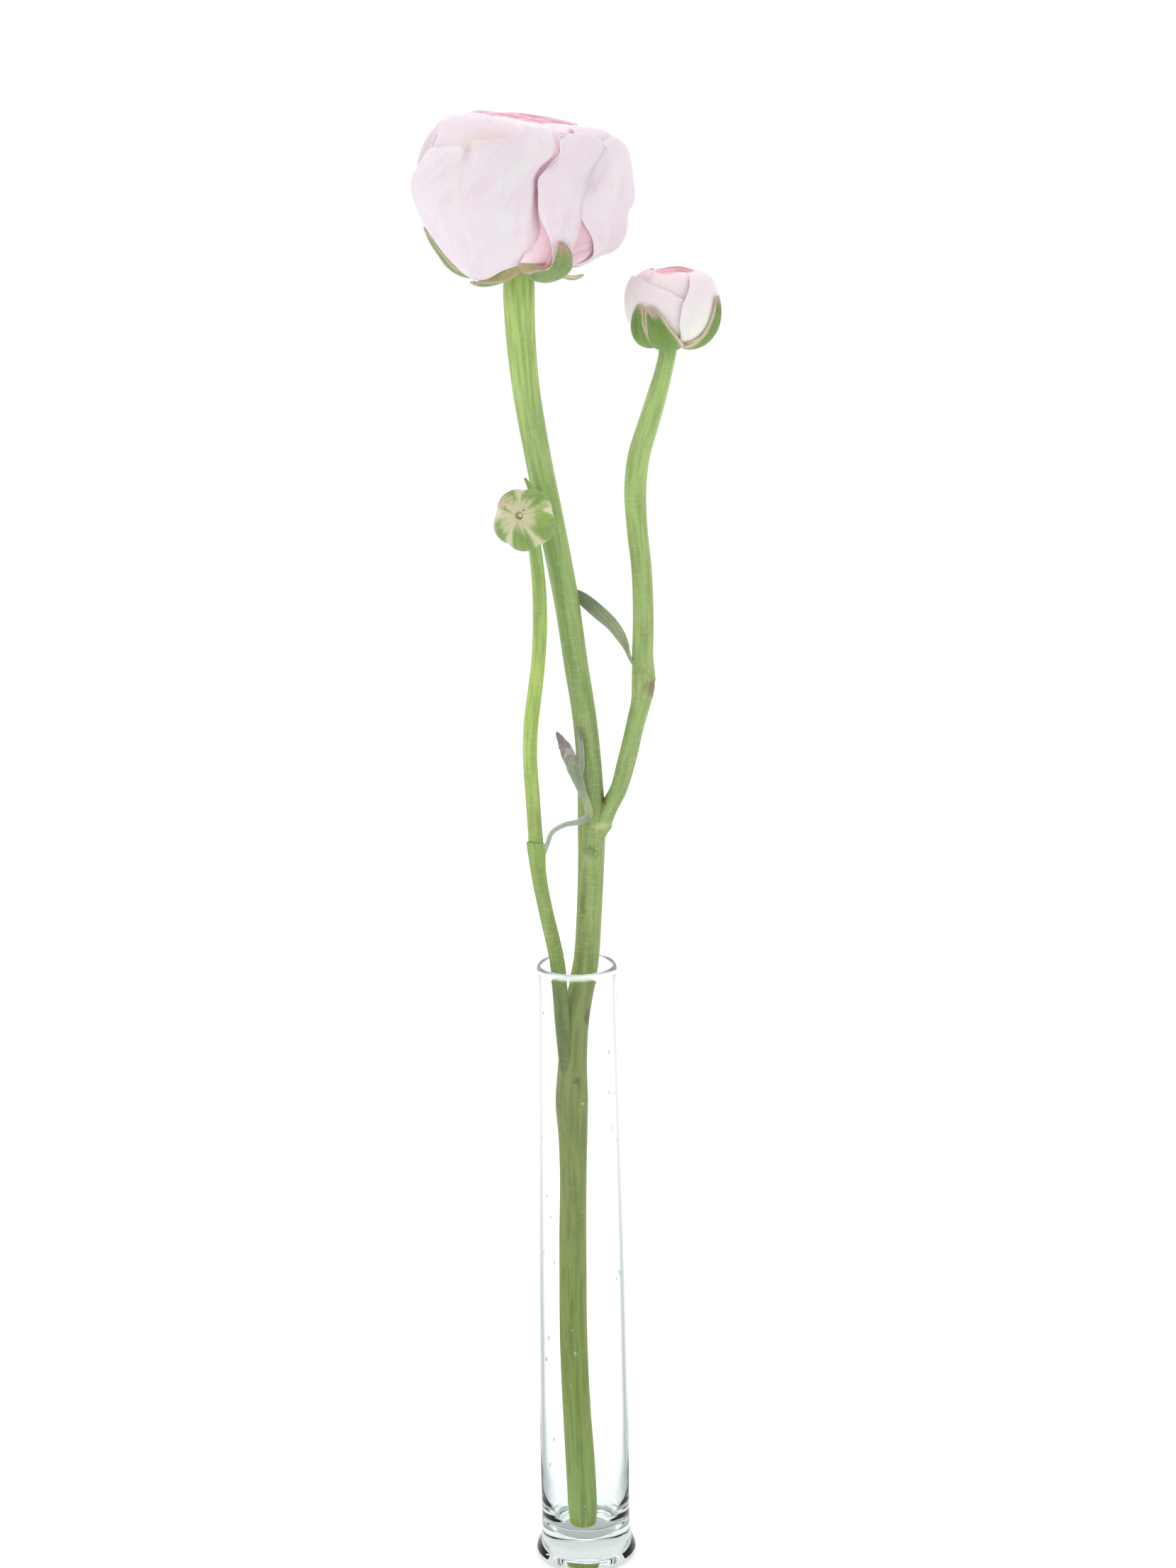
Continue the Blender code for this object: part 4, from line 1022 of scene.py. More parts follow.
def makeInnerPetals(settings, seed):
    # each one a golden turn on from the last and a little further in
    goldenTurn, lastShare = 137.5, settings["count"] - 1
    petals = []
    draw = np.random.default_rng(seed)
    for k in range(settings["count"]):
        share = k / lastShare
        middle = settings["firstTurn"] + k * goldenTurn + draw.uniform(-8, 8)
        half = settings["halfWidth"] * (1 - 0.14 * share) * draw.uniform(0.92, 1.06)
        top = settings["top"] + settings["topGain"] * share + draw.uniform(-0.012, 0.012)
        widths = [(0, 0.5 * half), (0.3, half), (0.7, half), (1.0, 0.62 * half)]
        first, last = settings["tone"]
        petals.append({
            "left": [(at, middle - wide) for at, wide in widths],
            "right": [(at, middle + wide) for at, wide in widths],
            "crown": [(-1, top - 0.12), (-0.6, top - 0.03), (0, top), (0.6, top - 0.035), (1, top - 0.13)],
            "depth": settings["firstDepth"] + (settings["lastDepth"] - settings["firstDepth"]) * share,
            "seed": seed + 10 * k, "tone": first + (last - first) * share, "size": settings["size"],
            **innerUsual,
        })
    return petals


bloomSettings = {
    "axis": (0.06, -0.05, 1),
    "cup": {
        "outer": [(3, 2.6), (5.5, 2.2), (8, 1), (12, -0.9), (16.5, -1), (20.5, 1.2), (24.2, 5.4), (27.6, 11),
            (29.8, 17.5), (30, 24), (28.4, 30.5), (24.5, 35.8), (19, 39), (12.5, 40.6)],
        "inner": [(3, 6), (6.5, 8), (9.5, 13), (11, 20), (10.5, 27), (8, 32.5), (4.5, 35.8), (2, 37)],
        "depth": 19.5, "slope": 0.12,
    },
    "petals": [
        {
            "size": (130, 200), "depth": -1, "droop": (3.4, -44, 25), "lip": 0.2, "seed": 11, "tone": 0.02,
            "swell": 0.22,
            "left": [(0, -68), (0.2, -92), (0.35, -106), (0.5, -101), (0.57, -85), (0.627, -71), (0.69, -63),
                (0.78, -52)],
            "right": [(0, -52), (0.1, -46), (0.16, -36), (0.204, -22), (0.25, -5.5), (0.28, 6), (0.31, 13),
                (0.35, 18), (0.42, 20), (0.45, 18.5), (0.5, 16), (0.55, 14), (0.6, 13), (0.647, 13.5),
                (0.685, 16.5), (0.71, 20), (0.74, 23), (0.84, 24)],
            "rim": [(-106, 0.6), (-80, 0.66), (-63, 0.699), (-58, 0.717), (-49, 0.729), (-37, 0.741),
                (-31, 0.745), (-30, 0.757), (-23, 0.772), (-17, 0.779), (-11, 0.79), (-6, 0.808), (0, 0.838),
                (6, 0.858), (15, 0.858), (24, 0.83)],
            "fringe": 0.003,
            # each roll's tone is painted crevice shade where the edge turns in
            "rolls": [
                {
                    "depth": 2.5, "tone": 0.62, "flat": 3.5,
                    "fade": [(0, 1), (0.66, 1), (0.73, 0.4), (0.84, 0.2)],
                    "from": [(0, 20), (0.24, 4), (0.29, -2), (0.339, -1), (0.379, 0.5), (0.429, 1.5),
                        (0.481, 2), (0.511, 3), (0.541, 4), (0.593, 4.2), (0.639, 4.6), (0.679, 8),
                        (0.719, 14), (0.774, 17.5), (0.84, 20)],
                },
            ],
            "folds": [
                (
                    0.5, 2.2,
                    [(-29, 0.7), (-36, 0.681), (-41.5, 0.647), (-48, 0.607), (-60, 0.541), (-68, 0.5)],
                ),
                (-0.15, 1.5, [(-30, 0.7), (-36, 0.681), (-41.5, 0.647), (-48, 0.607)]),
                (0.5, 3.2, [(-40, 0.62), (-38, 0.55), (-37, 0.46), (-34, 0.36)]),
                (0.35, 1.2, [(-26.5, 0.7), (-26.5, 0.75)]),
                (0.25, 1.8, [(-64, 0.672), (-45, 0.69), (-33, 0.7)]),
                (1.2, 3.4, [(-5, 0.79), (3, 0.82), (18, 0.83)]),
                (-0.4, 1, [(3, 0.585), (7.5, 0.6)]),
                (0.45, 1.6, [(-80, 0.52), (-88, 0.42), (-84, 0.3)]),
            ],
        },
        {
            "size": (96, 80), "depth": -0.3, "lip": 0.35, "tuck": 0.8, "seed": 21, "tone": 0.05, "swell": 0.2,
            "left": [(0, 34), (0.2, 31), (0.33, 22.5), (0.369, 20.2), (0.409, 17.5), (0.449, 14.2),
                (0.491, 11.8), (0.539, 10.2), (0.581, 9.2), (0.619, 8.5), (0.647, 9.2), (0.685, 12.5),
                (0.709, 16.5), (0.727, 19.5), (0.778, 21.2), (0.85, 24)],
            "right": [(0, 44), (0.2, 44), (0.3, 41), (0.371, 38.5), (0.42, 37.5), (0.48, 36), (0.55, 37),
                (0.6, 42), (0.66, 48), (0.71, 54), (0.766, 55), (0.79, 53.5), (0.85, 49)],
            "rim": [(9, 0.7), (21, 0.785), (23, 0.793), (27, 0.81), (38, 0.832), (47, 0.826), (52, 0.8),
                (56, 0.77)],
            "rolls": [
                {
                    "depth": 0.5, "tone": 0.4,
                    "from": [(0, 60), (0.25, 40), (0.371, 33), (0.48, 30.5), (0.55, 31), (0.6, 45),
                        (0.85, 60)],
                    "flat": 0, "fade": [(0, 1), (1, 1)],
                },
            ],
            "folds": [
                (-0.3, 1.2, [(18, 0.66), (26, 0.72), (34, 0.8)]),
                (0.4, 1.2, [(22, 0.36), (25, 0.44), (24, 0.5)]),
                (-0.3, 1, [(29, 0.36), (28, 0.46)]),
            ],
        },
        {
            "size": (96, 96), "depth": -0.7, "lip": 0.3, "sideLip": -0.3, "tuck": 1.6, "seed": 31,
            "tone": 0.04, "swell": 0.3,
            "left": [(0, 74), (0.2, 72), (0.303, 66), (0.339, 58.6), (0.381, 52), (0.417, 46), (0.447, 41),
                (0.481, 36.5), (0.513, 33.9), (0.543, 32.3), (0.573, 32.2), (0.607, 32.9), (0.641, 34.5),
                (0.679, 38.5), (0.715, 45.2), (0.74, 50), (0.8, 57)],
            "right": [(0, 84), (0.25, 80), (0.33, 84), (0.37, 94), (0.41, 98), (0.445, 93), (0.475, 86),
                (0.5, 88), (0.53, 100), (0.58, 110), (0.7, 104), (0.8, 88)],
            "crown": [(-1, 0.785), (-0.4, 0.8), (0.2, 0.79), (0.6, 0.76), (1, 0.74)],
            "folds": [
                (
                    -0.5, 1.1,
                    [(37, 0.565), (43, 0.527), (49.5, 0.485), (56, 0.445), (61.6, 0.395), (68, 0.345)],
                ),
                (0.35, 1.6, [(40, 0.53), (47, 0.47), (54, 0.41)]),
                (-2.4, 3.4, [(80, 0.4), (94, 0.405)]),
                (-1.2, 2, [(84, 0.335), (92, 0.36)]),
                (-1, 2.4, [(92, 0.55), (104, 0.55)]),
                (-0.25, 0.9, [(72, 0.62), (70, 0.52), (74, 0.44)]),
            ],
        },
        {
            "size": (56, 60), "depth": -0.1, "lip": 0.5, "seed": 41, "tone": 0.06,
            "left": [(0, 96), (0.25, 98), (0.5, 104), (0.84, 124)],
            "right": [(0, 190), (0.25, 206), (0.5, 210), (0.84, 192)],
            "crown": [(-1, 0.74), (-0.5, 0.79), (0, 0.82), (0.6, 0.81), (1, 0.76)],
        },
        {
            "size": (56, 70), "depth": 0.7, "lip": 0.2, "seed": 51, "tone": 0.16,
            "left": [(0, 195), (0.25, 196), (0.5, 190), (0.86, 206)],
            "right": [(0, 262), (0.25, 272), (0.5, 290), (0.7, 298), (0.86, 290)],
            "rim": [(190, 0.8), (220, 0.84), (250, 0.845), (270, 0.835), (285, 0.81), (298, 0.76)],
        },
        {
            "size": (90, 140), "depth": 0.6, "lip": 0.1, "seed": 61, "tone": 0.04, "toneRoot": 0.7,
            "swell": 0.16,
            "left": [(0, -95), (0.3, -104), (0.6, -108), (0.74, -100), (0.8, -96), (0.94, -88)],
            "right": [(0, -30), (0.3, -8), (0.6, 0), (0.94, 6)],
            "rim": [(-108, 0.72), (-100, 0.78), (-93, 0.835), (-88, 0.868), (-84, 0.862), (-72, 0.876),
                (-60, 0.884), (-44, 0.9), (-34, 0.915), (-22, 0.904), (-10, 0.89), (0, 0.856), (8, 0.84)],
            "folds": [
                (0.5, 2.6, [(-60, 0.79), (-30, 0.8), (-8, 0.815)]),
                (-0.25, 1.2, [(-76, 0.85), (-58, 0.84), (-34, 0.86)]),
            ],
        },
        {
            "size": (56, 60), "depth": 3, "lip": 0.3, "seed": 71, "tone": 0.5, "toneRoot": 0.1, "swell": 0.08,
            "left": [(0, -30), (0.25, -30), (0.6, -30), (0.93, -10)],
            "right": [(0, 24), (0.25, 26), (0.6, 34), (0.93, 40)],
            "crown": [(-1, 0.87), (-0.4, 0.875), (0.2, 0.865), (0.6, 0.85), (1, 0.82)],
        },
        {
            "size": (56, 60), "depth": 0.85, "lip": 0.1, "seed": 76, "tone": 0.56, "toneRoot": 0.3,
            "left": [(0, 24), (0.25, 24), (0.6, 26), (0.8, 30)],
            "right": [(0, 94), (0.25, 92), (0.6, 84), (0.8, 78)],
            "crown": [(-1, 0.66), (-0.4, 0.7), (0.4, 0.7), (1, 0.66)],
            "folds": [(0.7, 1.2, [(38, 0.3), (50, 0.335), (62, 0.35)])],
        },
        {
            "size": (60, 60), "depth": 1.05, "lip": 0.3, "seed": 81, "tone": 0.06, "toneRoot": 0.7,
            "left": [(0, 44), (0.3, 40), (0.6, 38), (0.93, 38)],
            "right": [(0, 100), (0.3, 112), (0.6, 118), (0.93, 106)],
            "rim": [(36, 0.87), (43, 0.9), (52, 0.895), (64, 0.885), (73, 0.872), (80, 0.83), (88, 0.79),
                (118, 0.75)],
        },
        {
            "size": (50, 50), "depth": 0.9, "lip": 0.3, "seed": 86, "tone": 0.12,
            "left": [(0, 122), (0.3, 124), (0.6, 124), (0.93, 134)],
            "right": [(0, 180), (0.3, 184), (0.6, 186), (0.93, 176)],
            "crown": [(-1, 0.82), (-0.4, 0.86), (0.2, 0.87), (1, 0.83)],
        },
    ],
    "inner": {
        "count": 38, "firstDepth": 2.8, "lastDepth": 18.2, "halfWidth": 74, "firstTurn": 40, "size": (28, 28),
        "top": 0.925, "topGain": 0.055, "tone": (0.3, 0.75),
    },
    # the inner petals give off a stronger painted glow, to brighten them where they lie in shade
    "thickness": 0.36, "heartPaintedGlow": 0.38,
    "look": {
        "outer": (0.875, 0.735, 0.81), "inner": (0.87, 0.41, 0.52), "root": (0.86, 0.7, 0.78),
        "cream": (0.885, 0.83, 0.81), "veins": (0.86, 0.6, 0.7), "edge": (0.92, 0.84, 0.87), "vein": 0.12,
        "blotch": 0.5, "patch": 0.4, "mottle": 0.3, "lift": 0.03,
        "spots": [
            spot((-23.5, -22.5, 432.5), 5, (0.8, 0.66, 0.58), 0.45, 0.7, (0.55, 0.6, 1.3)),
            spot((12.9, -14, 419.2), 1.6, (0.72, 0.68, 0.52), 0.4, 0.9, (2, 0.4, 0.9)),
            spot((-0.3, -20, 422), 1.2, (0.76, 0.7, 0.58), 0.35, 0.9, (1.5, 0.4, 0.8)),
            # painted shade: the next two spots, brown and pink, darken the back petal just above the front
            # petal's edge
            spot((-27.5, -22, 432.9), 2.2, (0.7, 0.6, 0.48), 0.4, 1, (0.8, 0.4, 1.4)),
            spot((-17, -22, 432.4), 4.5, (0.9, 0.62, 0.68), 0.4, 0.6, (0.6, 0.3, 2.2)),
            spot((-30, -22, 421), 4.2, (0.82, 0.74, 0.64), 0.3, 0.8, (1.5, 0.6, 0.55)),
        ],
    },
    "sepals": [
        {
            "turn": -84, "lean": 4,
            "route": [(2, 0.6), (5, -0.4), (8.6, -4), (12.8, -5.4), (16.8, -5), (20.2, -3), (23, 0.4),
                (25.4, 4), (27.3, 7.8)],
            "width": 6.2, "seed": 1, "curve": 0.5, "wave": 0.2, "tilt": -0.1,
        },
        {
            "turn": -38, "lean": -8,
            "route": [(2, 0.6), (3.8, -1), (6.6, -4.6), (10.2, -6.3), (13.4, -6.8), (16.4, -6.3),
                (17.8, -5.6)],
            "width": 5.4, "seed": 2, "curve": 0.5, "tilt": 0.1,
        },
        {
            "turn": 37, "lean": -11, "width": 6.2, "seed": 3, "curve": 1, "wave": 0.1,
            "outline": [(0, 0.45), (0.25, 0.85), (0.5, 1), (0.75, 0.62), (0.92, 0.34), (1, 0.1)],
            "route": [(2, 0.6), (4, -0.6), (6, -3), (9.5, -4.9), (13, -5.1), (16.3, -4.4), (20.8, -2.8),
                (24.4, -0.5), (26.4, 2.4), (27.6, 5), (27, 6.8), (26.2, 7.4)],
        },
        {
            "turn": 100, "route": [(2, 0.6), (5, 0), (8, -2.2), (12, -4.6), (16, -5.2), (18.6, -4)],
            "width": 6, "seed": 4, "curve": 0.4,
        },
        {
            "turn": 178,
            "route": [(2, 0.6), (5, 0.5), (8, -1.6), (12, -3.6), (17, -3.4), (21.8, -0.4), (25.4, 3.8)],
            "width": 6.5, "seed": 5, "curve": 0.4,
        },
    ],
    "sepalLook": {
        "root": (0.25, 0.37, 0.1), "middle": (0.2, 0.31, 0.09), "dark": (0.11, 0.21, 0.06),
        "light": (0.38, 0.48, 0.22), "inside": (0.86, 0.88, 0.54), "margin": (0.7, 0.56, 0.44),
        "marginAt": (0.86, 1), "marginStrength": 0.9, "tip": (0.5, 0.34, 0.24), "tipAt": (0.86, 0.99),
        "ragged": 0.35,
    },
    "hairs": {"count": 1200, "length": 0.7, "radius": 0.014, "lean": 0.6, "droop": -0.1},
}


def makeBloom():
    made = bloomSettings
    place = flowerPlace(stemSettings["routes"]["main"][-1], made["axis"])
    look = makePetalMaterial("bloomPink", made["look"])
    heart = makePetalMaterial("bloomHeartPink", made["look"], lift=made["heartPaintedGlow"], spots=[])
    outer, inner = made["petals"], makeInnerPetals(made["inner"], 300)
    groups = {"frontPetal": outer[:1], "outerPetals": outer[1:], "innerPetals": inner}
    for name, petals in groups.items():
        shown = heart if name == "innerPetals" else look
        shells = makePetals(made["cup"], petals, place, made["thickness"])
        addPiece(name, shells, shown, "bloom_petals")
    look = makeLeafMaterial("bloomSepalGreen", made["sepalLook"])
    makeSepals("bloomSepals", made["sepals"], place, look, "sepal", "bloom_sepals", made["hairs"])


rightBudSettings = {
    "axis": (0.05, -0.1, 1),
    "cup": {
        "outer": [(1.6, 2.2), (4.4, 1.7), (8.6, 2.9), (11.6, 6.2), (12.7, 10.6), (12.4, 15), (10.6, 18.5),
            (7.4, 20.5), (4.4, 21.2)],
        "inner": [(1.6, 4), (3.2, 5), (4.6, 9), (5.2, 12.6), (4.6, 15.8), (3, 18), (1.6, 18.9), (0.8, 19.2)],
        "depth": 6.8, "slope": 0,
    },
    "petals": [
        {
            "size": (56, 60), "depth": 0, "lip": 0.1, "seed": 111, "swell": 0.1,
            "left": [(0, -70), (0.3, -104), (0.6, -112), (0.82, -84)],
            "right": [(0, 0), (0.3, 16), (0.5, 17), (0.66, 14), (0.82, 8)],
            "crown": [(-1, 0.79), (-0.4, 0.8), (0, 0.775), (0.4, 0.74), (0.8, 0.69), (1, 0.64)],
        },
        {
            "size": (60, 50), "depth": -0.7, "lip": 0.1, "seed": 121, "swell": 0.1,
            "left": [(0, 26), (0.3, 16), (0.45, 11), (0.6, 13), (0.75, 24), (0.93, 34)],
            "right": [(0, 90), (0.3, 120), (0.6, 124), (0.93, 100)],
            "crown": [(-1, 0.86), (-0.4, 0.93), (0.3, 0.9), (1, 0.8)],
        },
        {
            "size": (44, 44), "depth": 0.4, "seed": 131,
            "left": [(0, 110), (0.3, 104), (0.6, 100), (0.92, 130)],
            "right": [(0, 190), (0.3, 212), (0.6, 216), (0.92, 196)],
            "crown": [(-1, 0.84), (-0.4, 0.9), (0.3, 0.9), (1, 0.82)],
        },
        {
            "size": (44, 44), "depth": 1, "seed": 141,
            "left": [(0, 190), (0.3, 188), (0.6, 196), (0.95, 220)],
            "right": [(0, 262), (0.3, 300), (0.6, 316), (0.95, 322)],
            "crown": [(-1, 0.86), (-0.4, 0.93), (0.3, 0.93), (0.7, 0.9), (1, 0.82)],
        },
        {
            "size": (50, 50), "depth": 0.75, "seed": 151, "swell": 0.08,
            "left": [(0, -50), (0.3, -60), (0.6, -80), (0.96, -60)],
            "right": [(0, 10), (0.3, 40), (0.6, 44), (0.96, 40)],
            "crown": [(-1, 0.84), (-0.5, 0.86), (0, 0.9), (0.5, 0.95), (1, 0.95)],
        },
    ],
    "inner": {
        "count": 12, "firstDepth": 1.7, "lastDepth": 6.6, "halfWidth": 80, "firstTurn": 150, "size": (30, 28),
        "top": 0.93, "topGain": 0.05, "tone": (0.35, 0.8),
    },
    # the inner petals give off a stronger painted glow, to brighten them where they lie in shade
    "thickness": 0.3, "heartPaintedGlow": 0.32,
    "look": {
        "outer": (0.94, 0.77, 0.81), "inner": (0.92, 0.5, 0.57), "root": (0.93, 0.915, 0.83),
        "cream": (0.93, 0.89, 0.84), "veins": (0.88, 0.7, 0.73), "edge": (0.88, 0.76, 0.78), "vein": 0.08,
        "blotch": 0.4, "patch": 0.2, "rootAt": (0.35, 0.9), "rootStrength": 0.8, "relief": 0.3, "lift": 0.12,
    },
    "sepalShape": {
        "outline": [(0, 0.3), (0.16, 0.6), (0.34, 0.98), (0.5, 1), (0.76, 0.68), (0.93, 0.42), (1, 0.22)],
        "bulge": 0.5, "curve": 0.5,
    },
    "sepals": [
        {
            "turn": -46, "lean": 6,
            "route": [(1, 0.5), (3, 0.4), (5.6, -0.2), (10.4, 0.9), (13.7, 5.2), (14, 10), (13.6, 12.4)],
            "width": 4, "seed": 11,
        },
        {
            "turn": -2, "lean": -24,
            "route": [(1, 0.5), (3, 0.4), (5.6, -0.5), (10.4, 0.5), (13.9, 4.8), (14.2, 9.6), (13.6, 12.2)],
            "width": 5.4, "seed": 12,
        },
        {
            "turn": 66,
            "route": [(1, 0.5), (3, 0.4), (5.8, -0.5), (10.6, 0.8), (14, 5.2), (14.9, 10), (14.5, 14.9)],
            "width": 4.6, "seed": 13, "bulge": 0.4,
        },
        {
            "turn": 134, "route": [(1, 0.5), (3, 0.4), (5.8, -0.1), (10.6, 1.1), (13.8, 5.4), (14.5, 11.4)],
            "width": 4.5, "seed": 14, "bulge": 0.4, "curve": 0.4,
        },
        {
            "turn": 212, "route": [(1, 0.5), (3, 0.4), (5.8, 0.2), (10.2, 1.5), (13.2, 5.6), (14.1, 11.4)],
            "width": 4.5, "seed": 15, "bulge": 0.4, "curve": 0.4,
        },
    ],
    "sepalLook": {
        "root": (0.24, 0.36, 0.08), "middle": (0.16, 0.27, 0.055), "dark": (0.08, 0.17, 0.03),
        "light": (0.3, 0.42, 0.14), "inside": (0.74, 0.7, 0.5), "margin": (0.7, 0.56, 0.44),
        "marginAt": (0.66, 0.92), "marginStrength": 0.95, "tip": (0.55, 0.4, 0.33), "tipAt": (0.86, 0.99),
        "ragged": 0.35,
    },
    "hairs": {"count": 1100, "length": 0.4, "radius": 0.012, "lean": 0.7, "droop": -0.1},
}


def makeRightBud():
    made = rightBudSettings
    place = flowerPlace(stemSettings["routes"]["right"][-1], made["axis"])
    look = makePetalMaterial("budPink", made["look"])
    heart = makePetalMaterial("budHeartPink", made["look"], lift=made["heartPaintedGlow"])
    inner = makeInnerPetals(made["inner"], 900)
    for name, petals, shown in (("rightBudPetals", made["petals"], look), ("rightBudHeart", inner, heart)):
        shells = makePetals(made["cup"], petals, place, made["thickness"])
        addPiece(name, shells, shown, "right_bud_petals")
    look = makeLeafMaterial("budSepalGreen", made["sepalLook"])
    sepals = [{**made["sepalShape"], **sepal} for sepal in made["sepals"]]
    makeSepals("rightBudSepals", sepals, place, look, "sepal", "right_bud_sepals", made["hairs"], 0.45)


smallBudSettings = {
    "axis": (-0.15, -0.95, 0.26), "centre": 9.2, "radius": 8.3, "size": (70, 72), "poreStart": 1.32,
    "poreDepth": 1.3, "ribDepth": 0.012, "sepals": [(3, 4.8), (70, 5.6), (151, 5.4), (221, 5.4), (302, 4.8)],
    "sepalShape": {
        "wave": 0.04, "tilt": 0.05,
        "outline": [(0, 0.4), (0.3, 1), (0.55, 1.08), (0.8, 0.8), (0.92, 0.5), (1, 0.24)],
    },
    "thickness": 0.4,
    # the petals' near-black inner colour is painted shade in the pore at the bud's tip, and the dot in it
    # gives off a painted glow
    "petalLook": {
        "outer": (0.72, 0.7, 0.5), "inner": (0.05, 0.03, 0.01), "root": (0.62, 0.66, 0.4),
        "cream": (0.78, 0.74, 0.58), "veins": (0.6, 0.6, 0.36), "edge": (0.8, 0.78, 0.6), "lift": 0.5,
        "spots": [spot((-13.45, -20, 329.4), 0.85, (0.7, 0.66, 0.24), 1, 0.15)],
    },
    "sepalLook": {
        "root": (0.22, 0.34, 0.09), "middle": (0.21, 0.34, 0.07), "dark": (0.13, 0.23, 0.06),
        "light": (0.36, 0.47, 0.18), "margin": (0.66, 0.64, 0.42), "marginAt": (0.48, 0.8),
        "marginStrength": 0.9, "tip": (0.62, 0.6, 0.36), "tipAt": (0.76, 0.95), "ragged": 0.45,
        "spots": [
            spot((-18.5, -17, 332.5), 3.4, (0.74, 0.52, 0.38), 0.6, 1),
            spot((-20.5, -15, 327.5), 3.2, (0.76, 0.58, 0.5), 0.6, 1),
            spot((-20, -13.5, 333.4), 1.3, (0.25, 0.24, 0.17), 0.7, 1),
            spot((-12.6, -20.9, 331), 0.55, (0.13, 0.11, 0.03), 1, 0.2, (0.7, 0.5, 1)),
            spot((-7.5, -18.5, 329.5), 4.2, (0.3, 0.46, 0.08), 0.75),
        ],
    },
    "hairs": {"count": 900, "length": 0.5, "radius": 0.011, "lean": 0.6, "droop": -0.15},
}


def makeSmallBud():
    made = smallBudSettings
    place = flowerPlace(stemSettings["routes"]["left"][-1], made["axis"])
    radius, centre = made["radius"], made["centre"]
    # the closed petals: a dimpled ball with a pore at its tip
    rows, columns = made["size"]
    poreStart = made["poreStart"]
    angle = np.linspace(-math.pi / 2, math.pi / 2, rows)[:, None]
    turn = np.linspace(0, fullTurn, columns, endpoint=False)
    pore = limited((angle - poreStart) / (math.pi / 2 - poreStart))
    height = centre + radius * np.sin(angle) - made["poreDepth"] * pore**0.6
    grown = radius * np.cos(angle) * (1 + made["ribDepth"] * np.cos(5 * turn + 0.4))
    flat = 0 * grown
    points = around(grown, turn, height + flat).reshape(-1, 3)
    faces = joined(ringFaces(np.arange(rows * columns).reshape(rows, columns)))
    # look.z marks the pore: near-black there, painted shade in the hole
    look = np.stack([flat, flat + 0.6, limited(pore * 5) + flat], -1).reshape(-1, 3)
    ball = {"points": placed(points, place), "faces": faces, "look": look, "place": points}
    material = makePetalMaterial("closedBudCream", made["petalLook"])
    addPiece("smallBudPetals", [ball], material, "small_bud_petals")
    keel = radius + 0.5
    angles = np.radians(np.linspace(-66, 82.5, 16))
    route = [(1.0, 0.5)] + [(keel * math.cos(a), centre + keel * math.sin(a)) for a in angles]
    sepals = []
    for k, (turn, width) in enumerate(made["sepals"]):
        sepals.append({"turn": turn, "width": width, "seed": 21 + k, "route": route, **made["sepalShape"]})
    look = makeLeafMaterial("closedBudSepal", made["sepalLook"])
    names = ("closed_bud_sepal", "small_bud_sepals")
    makeSepals("smallBudSepals", sepals, place, look, *names, made["hairs"], made["thickness"], (50, 35))


# Vase

vaseSettings = {
    "inner": [(0, 7), (3.5, 7), (5.6, 7.3), (8.2, 8.9), (10.3, 12), (11.6, 17), (12.25, 26), (12.4, 40),
        (12.3, 60), (12, 95), (11.5, 130), (10.95, 165), (10.65, 184)],
    "lip": [(10.6, 188.5), (10.5, 190.2), (10.72, 191.4), (11.2, 192), (11.75, 191.5), (12.1, 190.2),
        (12.1, 188.6)],
    "outer": [(12, 184), (12.3, 165), (12.85, 130), (13.35, 95), (13.65, 60), (13.8, 30), (13.8, 7.5),
        (13.95, 5.2), (14.5, 3.8), (15.3, 2.8), (15.5, 1.9), (15.4, 0.9), (14.8, 0.15), (14.3, 0),
        (13.2, 0.05), (12.2, 0.5), (8, 0.7), (0, 0.75)],
    "samples": {"inner": 90, "lip": 24, "outer": 110}, "sides": 128, "sharpAngle": 40, "baseWave": 0.26,
    "baseHeight": 14, "tint": (0.94, 0.985, 0.975), "absorb": (0.55, 0.62, 0.6), "density": 14,
    "look": {
        "smear": (60, 3, 0.5), "smearAt": (0.45, 0.75), "smearRough": 0.03, "clear": (0.985, 0.995, 0.99),
        "tintAt": (0, 0.05), "lipAt": (0.1896, 0.1906), "lipSmear": (0.3, 0.6, 0.5, 1),
        "lipSides": (0.006, 0.0105, 1, 0.4), "lipGlow": (0.4, 0.44, 0.47), "waves": (90, 2, 0.5),
        "waveStretch": (1, 1, 0.3), "bump": 0.35, "bumpDepth": 0.12,
    },
    "drops": {
        "count": 40, "seed": 5, "low": 18, "high": 178, "size": (0.2, 0.55), "stretch": (1, 2.2),
        "tint": (0.97, 0.99, 0.99),
    },
}


def makeGlassMaterial(name, tint):
    made = vaseSettings["look"]
    material, tree, shader = newMaterial(
        name, Metallic=0.0, IOR=1.5, Transmission_Weight=1.0, Specular_Tint=(0.3, 0.3, 0.3, 1.0),
        Emission_Strength=1.0,
    )
    place = objectPlace(tree)
    smear = noise(tree, place, *made["smear"])
    tree.links.new(ramp(tree, smear, *made["smearAt"], 0.0, made["smearRough"]), shader.inputs["Roughness"])
    apart = parts(tree, place)
    low = ramp(tree, apart[2], *made["tintAt"], 1.0, 0.0)
    tree.links.new(mixed(tree, low, rgb(made["clear"]), rgb(tint)), shader.inputs["Base Color"])
    # a painted glow on the fire-polished lip stands in for the light it gathers, weaker at its sides
    lip = maths(tree, "MULTIPLY", ramp(tree, apart[2], *made["lipAt"]), ramp(tree, smear, *made["lipSmear"]))
    lip = maths(tree, "MULTIPLY", lip, ramp(tree, maths(tree, "ABSOLUTE", apart[0]), *made["lipSides"]))
    tree.links.new(mixed(tree, lip, rgb(black), rgb(made["lipGlow"])), shader.inputs["Emission Color"])
    waves = noise(tree, vectorMaths(tree, "MULTIPLY", place, made["waveStretch"])[0], *made["waves"])
    bumped(tree, shader, waves, made["bump"], made["bumpDepth"])
    return material


